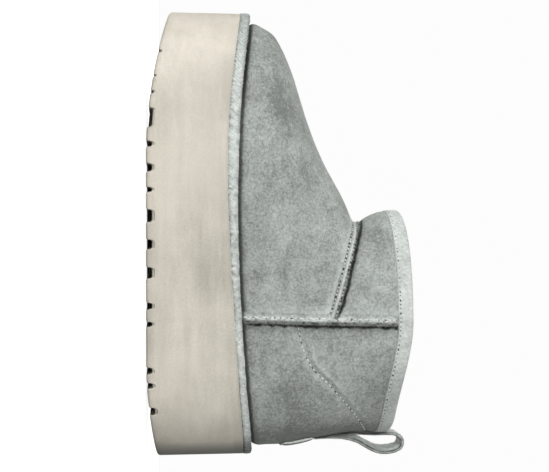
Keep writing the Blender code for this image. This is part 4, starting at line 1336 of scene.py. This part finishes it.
def side_seam_piece(name, side, finish):
    """The front panel's edge, lapped over the back panel and sewn down."""
    section, seed = lap_section(), SIDE_SEEDS[side]
    low, high = side_seam_range(side)
    rings, places, shadow = [], [], []
    for v in np.linspace(low, high, SEAM_ROWS):
        u = SKIN.u_at(side_seam_station(v) + section[:, 0], v, side)
        places.append(SKIN.at(u, v))
        # Painted shadow of the throat seam across the lap, and of the welt at its foot
        beside_throat = trench(below_throat(u, v) + 1.4, 1.5) * ease((section[:, 0] + 1.2) / 1.2)
        mottle = 0.3 * grain(places[-1], 1.1, seed + 3)
        beside_throat *= 0.55 + 0.35 * ease((section[:, 0] - 1.0) / 1.2) + mottle
        shadow.append(np.maximum(beside_throat, welt_shadow(places[-1], 0.0)))
        lift = lap_lift(section, places[-1], seed, SIDE_SEWN_AT)
        rings.append(SKIN.at(u, v, side_tuck(v, high) * lift))
    # Painted shade on the lap's turned half, darker towards the collar
    climbed = ease(np.linspace(0, 1, SEAM_ROWS) / SIDE_UNDERSIDE_SHADE_SHARE)[:, None]
    turned = SIDE_UNDERSIDE_SHADE_LOW + SIDE_UNDERSIDE_SHADE_MORE * climbed
    piece = lap_piece(name, rings, section, np.array(places), finish, seed, SIDE_CORD, SIDE_SEWN_AT[0],
                      SIDE_PIT_SHADE, turned, np.array(shadow))
    settle(piece, "suede", {1: "side_seam_outer", -1: "side_seam_inner"}[side])


def throat_seam_piece(finish):
    """The vamp's edge, lapped over the shaft's front and sewn down twice, ending at the side seams."""
    section = lap_section()
    ends = []
    for side, u in zip((-1, 1), THROAT_ENDS):
        stops = []
        for v in throat_v(np.full(len(section), u), section[:, 0]):
            stop = SKIN.u_at(np.array([side_seam_station(v) + THROAT_STOP]), v, side)[0]
            stops.append(stop - (side < 0))
        ends.append(np.array(stops))
    rings, places = [], []
    for share in np.linspace(0, 1, 2 * SEAM_ROWS):
        u = ends[0] + (ends[1] - ends[0]) * share
        v = throat_v(u, section[:, 0])
        places.append(SKIN.at(u, v))
        lift = lap_lift(section, places[-1], THROAT_SEED, THROAT_SEWN_AT)
        rings.append(SKIN.at(u, v, drawn_in(lift, u)))
    shadow = 0.35 * bell(section[:, 0] - THROAT_SEWN_AT[1], 0.6)
    piece = lap_piece("throat_lap", rings, section, np.array(places), finish, THROAT_SEED, THROAT_CORD,
                      sum(THROAT_SEWN_AT) / 2, THROAT_PIT_SHADE, THROAT_UNDERSIDE_SHADE, shadow)
    settle(piece, "suede", "throat_seam")


def binding_piece(finish):
    """The tape folded over the collar, a little puckered between its stitches."""
    columns = np.arange(BINDING_COLUMNS) / BINDING_COLUMNS
    rim = SKIN.at(columns, COLLAR_V)[:, 2]
    outer, inner = GAP + TAPE, -WALL - GAP - TAPE
    middle, reach = (outer + inner) / 2, (outer - inner) / 2
    section = [(GAP + 0.05, -BINDING_DROP), (GAP + 0.7, -BINDING_DROP - 0.1)]
    section += [(outer - 0.1, -BINDING_DROP + 0.3)]
    outer_rises = np.linspace(-BINDING_DROP + 1.0, BINDING_FOLD_FOOT, BINDING_OUTER_ROWS)
    section += [(outer, rise) for rise in outer_rises]
    for turn in np.radians(np.linspace(12, 168, BINDING_FOLD_ROWS)):
        rise = BINDING_FOLD_FOOT + (BINDING_FOLD - BINDING_FOLD_FOOT) * math.sin(turn) ** 0.8
        section.append((middle + reach * math.cos(turn), rise))
    inner_rises = np.linspace(BINDING_FOLD_FOOT, -BINDING_DROP_INSIDE + 0.6, BINDING_INNER_ROWS)
    section += [(inner, rise) for rise in inner_rises]
    section += [(inner + 0.5, -BINDING_DROP_INSIDE), (-WALL - GAP, -BINDING_DROP_INSIDE)]
    section += [(-WALL - GAP, -2.5), (-WALL - GAP, GAP), (GAP, GAP), (GAP, -2.5)]
    rows = []
    for lift, rise in section:
        v = SKIN.v_at(columns, rim + rise) if rise < 0 else np.full(columns.shape, COLLAR_V)
        places = SKIN.at(columns, v) + lift * SKIN.level_normal(columns, v)
        places[:, 2] = rim + rise
        rows.append(places)
    points = np.array(rows)
    rise = np.array([rise for _, rise in section])[:, None]
    shown = np.array([1.0 if lift > GAP + 0.3 or rise > GAP + 0.2 or lift < -WALL - GAP - 0.3 else 0.0
                      for lift, rise in section])[:, None]
    outward = SKIN.level_normal(columns, COLLAR_V)[None] * np.sign(
        np.array([lift for lift, _ in section])[:, None, None] - middle)
    pucker = 0.14 * grain(points, 4.5, 51) - 0.30 * bell(rise + BINDING_DROP - BINDING_STITCHED, 0.6)
    points = points + outward * (shown * pucker)[..., None]
    weave = 0.75 + 0.25 * grain(points, 1.2, 53)
    # Painted shade along the tape's lower edge, where it meets the suede
    under = np.broadcast_to(0.15 * bell(rise + BINDING_DROP, 0.5), weave.shape)
    faces = grid_faces(len(points), BINDING_COLUMNS, wrap_rows=True)
    piece = add_piece("collar_tape", points, faces, finish, {"weave": weave, "crevice": under})
    settle(piece, "collar_tape", "collar_binding")


def loop_piece(finish):
    """The tape loop at the back of the shaft."""
    heights = np.array([point.up for point in LOOP_PATH])
    backs = np.full(len(heights), UPPER_LEVELS[-1].back)
    below = heights < UPPER_LEVELS[-1].back_up
    v = SKIN.v_at(np.full(below.sum(), 0.5), heights[below])
    backs[below] = SKIN.at(np.full(below.sum(), 0.5), v)[:, 0]
    line = np.stack([backs - [point.behind for point in LOOP_PATH], heights], axis=1)
    line = smooth_path(line, LOOP_STEPS)
    ahead = np.gradient(line, axis=0)
    ahead /= np.linalg.norm(ahead, axis=1, keepdims=True)
    aside = np.stack([-ahead[:, 1], ahead[:, 0]], axis=1)
    half, thick = LOOP_WIDTH / 2, (LOOP_TAPE + LOOP_PUFF) / 2
    flat = np.linspace(-half + LOOP_EDGE, half - LOOP_EDGE, LOOP_FACE_STEPS)
    rim = np.array([half - LOOP_EDGE_ROUND, half, half - LOOP_EDGE_ROUND])
    across = np.concatenate([flat, rim, -flat, -rim])
    face, over_rim = np.full(LOOP_FACE_STEPS, thick), np.array([0.6 * thick, 0, -0.6 * thick])
    lift = np.concatenate([face, over_rim, -face, -over_rim])
    rib = np.cos(across * 2 * math.pi / LOOP_RIB_PITCH) * (np.abs(across) < half - LOOP_EDGE)
    lift = lift + 0.07 * np.sign(lift) * rib
    step = np.arange(LOOP_STEPS)
    near_heel = 1 - ease((step - LOOP_INNER_END) / LOOP_INNER_FADE)
    full = (0.25 + 0.75 * ease(np.minimum(step, step[::-1]) / LOOP_ROOT)) * (1 - 0.4 * near_heel)
    twist = LOOP_TWIST * ease((step - LOOP_TWIST_START) / LOOP_TWIST_RISE)
    twist = twist * ease((LOOP_TWIST_END - step) / LOOP_TWIST_FALL)
    rings = []
    for (along, up), (side_along, side_up), share, lean in zip(line, aside, full, twist):
        inward = share * lift + lean * (half - across) / LOOP_WIDTH
        rings.append(np.stack([along + inward * side_along, across, up + inward * side_up], axis=1))
    rings = np.array(rings)
    fold = np.abs(np.abs(across) - half + 0.35) < 0.3
    inside = lift > 0.9 * thick
    # Painted shade on the folded edges and on the inner strand beside the heel; the inner face is painted
    # lighter, as painted light
    values = {"weave": 0.6 + 0.3 * rib + 0.9 * inside + 0.6 * grain(rings, 1.6, 57),
              "crevice": fold * (0.65 + 0.3 * grain(rings, 2.2, 58)) + 0.4 * near_heel[:, None],
              "fuzz": np.broadcast_to(0.35 + 0.65 * fold, rings.shape[:2])}
    piece = strip("heel_loop", rings, finish, values)
    settle(piece, "collar_tape", "pull_loop")


def patch_piece(finish):
    """The plain patch on the heel, with a soft cut edge."""
    middle_up = (PATCH_LOW + PATCH_HIGH) / 2
    middle_v = float(SKIN.v_at(np.array([0.5]), middle_up)[0])
    span = np.linalg.norm(SKIN.at(0.502, middle_v) - SKIN.at(0.498, middle_v))
    per_mm = 0.004 / span
    turn = np.linspace(0, 2 * math.pi, PATCH_STEPS, endpoint=False)
    reach = (np.abs(np.cos(turn)) ** PATCH_SQUARENESS + np.abs(np.sin(turn)) ** PATCH_SQUARENESS)
    reach = reach ** (-1 / PATCH_SQUARENESS)
    top = GAP + PATCH_THICKNESS
    profile = [(0.02, GAP), (0.5, GAP), (0.97, GAP), (1.0, GAP + 0.3), (1.0, top - 0.45)]
    profile += [(0.985, top - 0.12), (0.95, top)] + [(share, top) for share in np.linspace(0.88, 0.02, 9)]
    rows, edges = [], []
    for share, lift in profile:
        u = 0.5 + np.cos(turn) * reach * share * PATCH_WIDTH / 2 * per_mm
        up = middle_up + np.sin(turn) * reach * share * (PATCH_HIGH - PATCH_LOW) / 2
        v = SKIN.v_at(u, up)
        base = SKIN.at(u, v)
        wave = 0.08 * grain(base, 6, 61) - 0.3 * bell((1 - share) * PATCH_WIDTH / 2 - 2.0, 0.7)
        full = 1 - PATCH_TAPER * np.abs(np.sin(turn) * reach * share) ** 2.5
        rows.append(SKIN.at(u, v, GAP + (lift - GAP) * full + (wave if lift >= top - 0.2 else 0.0)))
        edges.append(np.full(PATCH_STEPS, 1.0 if 0.96 < share and GAP < lift < top else 0.0))
    edges = np.array(edges)
    # Pale cut edge; the face is painted darker, as painted shade
    piece = strip("heel_patch_plain", rows, finish, {
        "raw": edges, "tone": np.full(edges.shape, PATCH_SHADE)})
    settle(piece, "suede", "heel_patch")


def seam_row(side, aside, lift, pitch, shift):
    """Stitches beside a side seam."""
    low, high = side_seam_range(side)
    dense = np.linspace(low + SIDE_ROW_START, high - 0.03, SIDE_ROW_STEPS)
    u = np.array([SKIN.u_at(np.array([side_seam_station(v) + aside]), v, side)[0] for v in dense])
    return surface_row(u, dense, lambda u, v: lift * side_tuck(v, high), pitch, shift)


def surface_row(u, v, lift, pitch, shift):
    """Even places along a line of u and v, at heights that lift gives, each with its normal."""
    line = SKIN.at(u, v)
    walked = walked_along(line)
    count = max(2, round(walked[-1] / pitch))
    places = np.arange(count) + 0.5 + shift
    places += STITCH_UNEVEN * grain(np.stack([places, places, places], axis=1), 0.7, 71)
    wanted = places * walked[-1] / count
    wanted = wanted[wanted < walked[-1]]
    u, v = np.interp(wanted, walked, u), np.interp(wanted, walked, v)
    return SKIN.at(u, v, lift(u, v)), SKIN.normal(u, v)


def throat_row(aside, lift, pitch, shift):
    """Stitches along the throat seam."""
    start, end = THROAT_ENDS
    u = np.linspace(start - THROAT_ROW_MORE, end + THROAT_ROW_MORE, THROAT_ROW_STEPS)
    v = throat_v(u, np.full(u.shape, aside))
    return surface_row(u, v, lambda u, v: drawn_in(lift, u), pitch, shift)


def counter_row(side, lift, pitch, shift):
    """Stitches round the heel stiffener, to the middle of the back."""
    u, v = SKIN.find(smooth_path(COUNTER_LINE, COUNTER_ROW_STEPS), side).T
    last, end = COUNTER_LINE[-1], COUNTER_BACK
    back_u = np.linspace(u[-1], 0.5, COUNTER_BACK_STEPS)[1:]
    share = np.clip((last.along - SKIN.at(back_u, v[-1])[:, 0]) / (last.along - end.along), 0, 1)
    back_v = SKIN.v_at(back_u, last.up + (end.up - last.up) * share)
    u, v = np.append(u, back_u), np.append(v, back_v)
    return surface_row(u, v, lambda u, v: lift, pitch, shift)


def collar_row(lift, pitch, shift):
    """Stitches along the collar tape's lower edge."""
    u = np.linspace(0, 1, COLLAR_ROW_STEPS)
    rim = SKIN.at(u, COLLAR_V)[:, 2]
    v = SKIN.v_at(u, rim - BINDING_DROP + BINDING_STITCHED)
    return surface_row(u, v, lambda u, v: lift, pitch, shift)


def all_rows(shift, sunk):
    """Every stitched line of the boot, with the lines that share a thread together."""
    seam, throat, counter, collar = SEWING.values()
    return {
        "side": [seam_row(side, SIDE_SEWN_AT[0] + sway, seam.lifts[0] - sunk, seam.pitch,
                          0.5 * shift + later)
                 for side, (sway, later) in product((1, -1), SIDE_ZIGZAG)],
        "throat": [throat_row(aside, lift - sunk, throat.pitch, shift)
                   for aside, lift in zip(THROAT_SEWN_AT, throat.lifts)],
        "counter": [counter_row(side, counter.lifts[0] - sunk, counter.pitch, shift) for side in (1, -1)],
        "collar": [collar_row(collar.lifts[0] - sunk, collar.pitch, shift)],
    }


def stitch_pieces(colours, sizes):
    """Threads, and the dark needle holes between them: small dark discs of painted shade."""
    thread, hole = thread_finish(colours), hole_shade_finish(colours)
    length, width = sizes.stitch_length / MM, sizes.stitch_width / MM
    for label, rows in all_rows(0.0, 0.0).items():
        bold, slot = SEWING[label].bold, SEWING[label].slot
        sewn(f"{label}_stitches", rows, length * bold, width * bold, width * bold * 0.8, thread, slot)
    for label, rows in all_rows(0.5, HOLES_SUNK).items():
        long, wide, slot = SEWING[label].hole_length, SEWING[label].hole_width, SEWING[label].slot
        sewn(f"{label}_needle_hole_shades", rows, long, wide, wide * 0.6, hole, slot)


def fuzz_piece(sizes, name, slot, finish, seed, share=1.0):
    """Loose fibres on a piece where it is frayed; share makes them shorter and sparser."""
    source = bpy.data.objects[name]
    length = sizes.fibre_length * share
    tree = bpy.data.node_groups.get("surface_hairs") or hair_tree()
    piece = Repeat.bake(tree, source, f"{name}_fibres", {
        "Density": sizes.fibre_density * share, "Length": length, "Width": length * 0.10,
        "Lean": 1.0, "Seed": seed, "Finish": finish})
    settle(piece, slot)


def emission_material(name, colour, strength):
    """A material that only shines."""
    finish = Finish(name)
    shader = finish.shader
    shader.inputs["Base Color"].default_value = (0, 0, 0, 1)
    shader.inputs["Specular IOR Level"].default_value = 0
    shader.inputs["Emission Color"].default_value = rgba(colour)
    shader.inputs["Emission Strength"].default_value = strength
    return finish.material


def lamp(name, place, target, size, power):
    """A round softbox that faces its target and isn't seen itself."""
    light = bpy.data.lights.new(name, "AREA")
    light.shape = "DISK"
    light.size = size
    light.energy = power
    lamp_object = bpy.data.objects.new(name, light)
    lamp_object.location = place
    lamp_object.rotation_euler = (Vector(target) - Vector(place)).to_track_quat("-Z", "Y").to_euler()
    lamp_object.visible_camera = False
    bpy.context.scene.collection.objects.link(lamp_object)


def stage_set(look):
    """Pale floor, white backdrop, soft lights and the camera, turned on its side as the picture is."""
    scene = bpy.context.scene
    floors = []
    for name, shade, glow, drop in (("floor", look.floor, look.floor_glow, 0.0),
                                    ("floor_under", look.floor_under, 0.0, FLOOR_UNDER_DROP)):
        form = bmesh.new()
        bmesh.ops.create_circle(form, cap_ends=True, segments=96, radius=FLOOR_RADIUS)
        bmesh.ops.translate(form, verts=form.verts, vec=(0, 0, -drop))
        mesh = bpy.data.meshes.new(name)
        form.to_mesh(mesh)
        form.free()
        finish = Finish(f"pale_{name}")
        mottle = finish.noise(6, 2, 0.5)
        colour = finish.blend(mottle, rgba(np.array(shade) * 0.97), rgba(shade))
        finish.paint(colour, 0.8, specular_ior_level=0.1, emission_color=(1, 1, 1, 1),
                     emission_strength=glow)
        mesh.materials.append(finish.material)
        floor = bpy.data.objects.new(name, mesh)
        scene.collection.objects.link(floor)
        floors.append(floor)
    floors[0].visible_diffuse = floors[0].visible_glossy = floors[0].visible_shadow = False
    floors[1].visible_camera = False
    form = bmesh.new()
    bmesh.ops.create_uvsphere(form, u_segments=64, v_segments=32, radius=BACKDROP_RADIUS)
    bmesh.ops.reverse_faces(form, faces=form.faces)
    mesh = bpy.data.meshes.new("backdrop")
    form.to_mesh(mesh)
    form.free()
    mesh.materials.append(emission_material("white_backdrop", (1, 1, 1), look.backdrop))
    backdrop = bpy.data.objects.new("backdrop", mesh)
    backdrop.visible_diffuse = backdrop.visible_glossy = backdrop.visible_shadow = False
    scene.collection.objects.link(backdrop)
    world = bpy.data.worlds.new("studio")
    world.use_nodes = True
    world.node_tree.nodes["Background"].inputs["Color"].default_value = (1, 1, 1, 1)
    world.node_tree.nodes["Background"].inputs["Strength"].default_value = look.sky
    scene.world = world
    lamp("toe_softbox", (0.95, -1.52, 0.30), LIT_MIDDLE, 0.55, look.key)
    lamp("side_softbox", (1.5, -0.16, 0.30), LIT_MIDDLE, 0.9, look.fill)
    lamp("top_softbox", (-0.9, 0.5, 1.5), LIT_MIDDLE, 1.2, look.top)
    lamp("inner_softbox", (-1.6, -0.2, 0.12), LIT_MIDDLE, 1.0, look.inner)
    lamp("back_softbox", (-1.75, 0.55, 0.7), LIT_MIDDLE, 1.0, look.back)
    camera = bpy.data.cameras.new("photo_camera")
    camera.lens, camera.sensor_width = look.lens, 36.0
    camera.clip_start = 0.01
    camera_object = bpy.data.objects.new("photo_camera", camera)
    right = Vector((math.sin(look.tilt), 0, math.cos(look.tilt)))
    above = Vector((0, -1, 0))
    axes = Matrix((right, above, right.cross(above))).transposed().to_4x4()
    place = Matrix.Translation((look.distance, look.sideways, look.height))
    camera_object.matrix_world = place @ axes
    scene.collection.objects.link(camera_object)
    scene.camera = camera_object
    scene.view_settings.view_transform = "Standard"


def colour_property(name, description, default):
    return bpy.props.FloatVectorProperty(
        name=name, description=description, subtype="COLOR", size=3, min=0, max=1, default=default)


def length_property(name, description, default):
    return bpy.props.FloatProperty(
        name=name, description=description, unit="LENGTH", min=0, default=default, precision=5)


def number_property(name, description, default, unit="NONE"):
    return bpy.props.FloatProperty(name=name, description=description, unit=unit, default=default)


class BootColours(bpy.types.PropertyGroup):
    """Colours of the boot's materials."""

    suede_light: colour_property("Suede light", "Where the nap catches the light", (0.56, 0.60, 0.575))
    suede_dark: colour_property("Suede dark", "Where the nap lies away", (0.20, 0.215, 0.20))
    foam_light: colour_property("Foam light", "Clean parts of the platform", (0.78, 0.735, 0.64))
    foam_dark: colour_property("Foam dark", "Streaks of the platform", (0.50, 0.47, 0.40))
    foam_blush: colour_property("Foam blush", "Warmer parts of the platform", (0.69, 0.635, 0.555))
    # Painted shade: the darkest foam, which the heel end goes to
    foam_soil: colour_property("Foam soil", "Painted shade at the platform's heel end", (0.24, 0.24, 0.215))
    tape_light: colour_property("Tape light", "Top of the tape's threads", (0.80, 0.84, 0.81))
    tape_dark: colour_property("Tape dark", "Between the tape's threads", (0.34, 0.37, 0.35))
    thread_light: colour_property("Thread light", "Top of the stitches", (0.86, 0.88, 0.86))
    thread_dark: colour_property("Thread dark", "Twist of the stitches", (0.60, 0.63, 0.61))
    raw_edge: colour_property("Raw edge", "Pale fibres where the suede is cut", (0.80, 0.83, 0.80))
    # Near-black of the painted shade in seams, behind the welt and on shaded sides
    crevice: colour_property("Crevice", "Deep in a seam, out of the light", (0.016, 0.018, 0.016))
    # Needle holes are dark discs: painted shade in each hole
    hole_light: colour_property("Hole edge", "Edge of a needle hole", (0.06, 0.065, 0.06))
    hole_dark: colour_property("Hole", "Inside of a needle hole", (0.02, 0.022, 0.02))
    fleece_light: colour_property("Fleece light", "Tips of the fleece", (0.90, 0.88, 0.84))
    fleece_dark: colour_property("Fleece dark", "Between the curls", (0.48, 0.465, 0.43))


class BootSizes(bpy.types.PropertyGroup):
    """Sizes of the boot's fine detail."""

    stitch_length: length_property("Stitch length", "Length of one visible stitch", 0.0015)
    stitch_width: length_property("Stitch width", "Width of the thread", 0.0007)
    weave_pitch: length_property("Weave pitch", "Distance between the welt's ribs", 0.0021)
    weave_depth: length_property("Weave depth", "Depth between the welt's ribs", 0.0007)
    fleece_depth: length_property("Fleece depth", "Thickness of the lining", 0.0022)
    fibre_length: length_property("Fibre length", "Loose fibres on the raw edges", 0.0019)
    fibre_density: number_property("Fibre density", "Loose fibres for each square metre of raw edge", 6.0e6)
    sole_top_round: length_property("Top edge", "Round of the platform's top edge", 0.0005)
    sole_tread_round: length_property("Tread edge", "Round of the platform's lower edge", 0.0016)


class BootStage(bpy.types.PropertyGroup):
    """Floor, lights and camera."""

    floor: colour_property("Floor", "Colour of the floor", (0.30, 0.30, 0.297))
    floor_under: colour_property("Floor bounce", "Colour that the floor throws back", (0.45, 0.45, 0.44))
    floor_glow: number_property("Floor glow", "Light of the floor itself", 0.85)
    backdrop: number_property("Backdrop", "Brightness of the backdrop", 0.98)
    sky: number_property("Sky", "Light from all round", 0.20)
    key: number_property("Toe light", "Power of the softbox at the toe", 16.2, "POWER")
    fill: number_property("Side light", "Power of the softbox at the side", 12.4, "POWER")
    top: number_property("Top light", "Power of the softbox above", 3.6, "POWER")
    inner: number_property("Inner light", "Power of the softbox at the inner side", 26.0, "POWER")
    back: number_property("Back light", "Power of the softbox behind the heel", 5.0, "POWER")
    lens: number_property("Lens", "Focal length in millimetres", 69.9, "CAMERA")
    distance: length_property("Distance", "Camera to the boot's middle", 0.650)
    sideways: number_property("Sideways", "Camera along the boot", 0.0023, "LENGTH")
    height: length_property("Height", "Camera above the floor", 0.0092)
    tilt: bpy.props.FloatProperty(name="Tilt", description="Camera turned up to the boot's middle",
                                  subtype="ANGLE", default=math.radians(6.0))


def finish_of(name, make, colours):
    """A material by its name, made when first asked for."""
    return bpy.data.materials.get(name) or make(colours)


def suede_of(colours):
    return finish_of("napped_suede", suede_finish, colours)


def fleece_of(colours):
    return finish_of("curly_fleece", fleece_finish, colours)


def collar_finish(colours):
    return tape_finish(colours, "soft_tape", 700, base=0.27, ribs=0.40, mottle=1.2)


def welt_finish(colours):
    return tape_finish(colours, "herringbone_tape", 900, base=0.32, ribs=0.65, mottle=0.6)


class BOOT_OT_upper(bpy.types.Operator):
    """Makes the suede upper"""

    bl_idname = "boot.upper"
    bl_label = "Suede upper"

    def execute(self, context):
        upper_piece(context.scene.boot_colours)
        return {"FINISHED"}


class BOOT_OT_fleece(bpy.types.Operator):
    """Makes the fleece lining and footbed"""

    bl_idname = "boot.fleece"
    bl_label = "Fleece lining and footbed"

    def execute(self, context):
        finish = fleece_of(context.scene.boot_colours)
        lining_piece(context.scene.boot_sizes, finish)
        footbed_piece(finish)
        return {"FINISHED"}


class BOOT_OT_sole(bpy.types.Operator):
    """Makes the foam platform"""

    bl_idname = "boot.sole"
    bl_label = "Foam platform"

    def execute(self, context):
        foam = finish_of("moulded_foam", foam_finish, context.scene.boot_colours)
        sole_piece(context.scene.boot_sizes, foam)
        return {"FINISHED"}


class BOOT_OT_welt(bpy.types.Operator):
    """Makes the woven welt"""

    bl_idname = "boot.welt"
    bl_label = "Woven welt"

    def execute(self, context):
        tape = finish_of("herringbone_tape", welt_finish, context.scene.boot_colours)
        welt_piece(context.scene.boot_sizes, tape)
        fuzz_piece(context.scene.boot_sizes, "woven_welt", "woven_tape", tape, 4, 0.5)
        return {"FINISHED"}


class BOOT_OT_seams(bpy.types.Operator):
    """Makes the lapped seams"""

    bl_idname = "boot.seams"
    bl_label = "Lapped seams"

    def execute(self, context):
        suede = suede_of(context.scene.boot_colours)
        side_seam_piece("side_lap_outer", 1, suede)
        side_seam_piece("side_lap_inner", -1, suede)
        throat_seam_piece(suede)
        fibres = suede_finish(context.scene.boot_colours, "suede_fibres", lighter=0.35)
        for seed, name in enumerate(("side_lap_outer", "side_lap_inner", "throat_lap"), 1):
            fuzz_piece(context.scene.boot_sizes, name, "suede", fibres, seed)
        return {"FINISHED"}


class BOOT_OT_tapes(bpy.types.Operator):
    """Makes the collar tape and the heel loop"""

    bl_idname = "boot.tapes"
    bl_label = "Collar tape and heel loop"

    def execute(self, context):
        tape = finish_of("soft_tape", collar_finish, context.scene.boot_colours)
        binding_piece(tape)
        loop_piece(tape)
        fuzz_piece(context.scene.boot_sizes, "heel_loop", "collar_tape", tape, 5, 0.5)
        return {"FINISHED"}


class BOOT_OT_patch(bpy.types.Operator):
    """Makes the plain heel patch"""

    bl_idname = "boot.patch"
    bl_label = "Heel patch"

    def execute(self, context):
        patch_piece(suede_of(context.scene.boot_colours))
        return {"FINISHED"}


class BOOT_OT_stitches(bpy.types.Operator):
    """Makes every row of stitches"""

    bl_idname = "boot.stitches"
    bl_label = "Stitches"

    def execute(self, context):
        stitch_pieces(context.scene.boot_colours, context.scene.boot_sizes)
        return {"FINISHED"}


class BOOT_OT_stage(bpy.types.Operator):
    """Makes the floor, the lights and the camera"""

    bl_idname = "boot.stage"
    bl_label = "Stage"

    def execute(self, context):
        stage_set(context.scene.boot_stage)
        return {"FINISHED"}


OPERATORS = (BOOT_OT_upper, BOOT_OT_fleece, BOOT_OT_sole, BOOT_OT_welt, BOOT_OT_seams, BOOT_OT_tapes,
             BOOT_OT_patch, BOOT_OT_stitches, BOOT_OT_stage)


class BOOT_PT_panel(bpy.types.Panel):
    """Lists the boot's makers"""

    bl_idname = "BOOT_PT_panel"
    bl_label = "Platform ankle boot"
    bl_space_type = "VIEW_3D"
    bl_region_type = "UI"
    bl_category = "Boot"

    def draw(self, context):
        for operator in OPERATORS:
            self.layout.operator(operator.bl_idname)


GROUPS = {"boot_colours": BootColours, "boot_sizes": BootSizes, "boot_stage": BootStage}


def register():
    for group in GROUPS.values():
        bpy.utils.register_class(group)
    for label, group in GROUPS.items():
        setattr(bpy.types.Scene, label, bpy.props.PointerProperty(type=group))
    for operator in OPERATORS:
        bpy.utils.register_class(operator)
    bpy.utils.register_class(BOOT_PT_panel)


def unregister():
    bpy.utils.unregister_class(BOOT_PT_panel)
    for operator in reversed(OPERATORS):
        bpy.utils.unregister_class(operator)
    for label, group in GROUPS.items():
        delattr(bpy.types.Scene, label)
        bpy.utils.unregister_class(group)


def main():
    register()
    for operator in OPERATORS:
        group, name = operator.bl_idname.split(".")
        getattr(getattr(bpy.ops, group), name)()


if __name__ == "__main__":
    main()
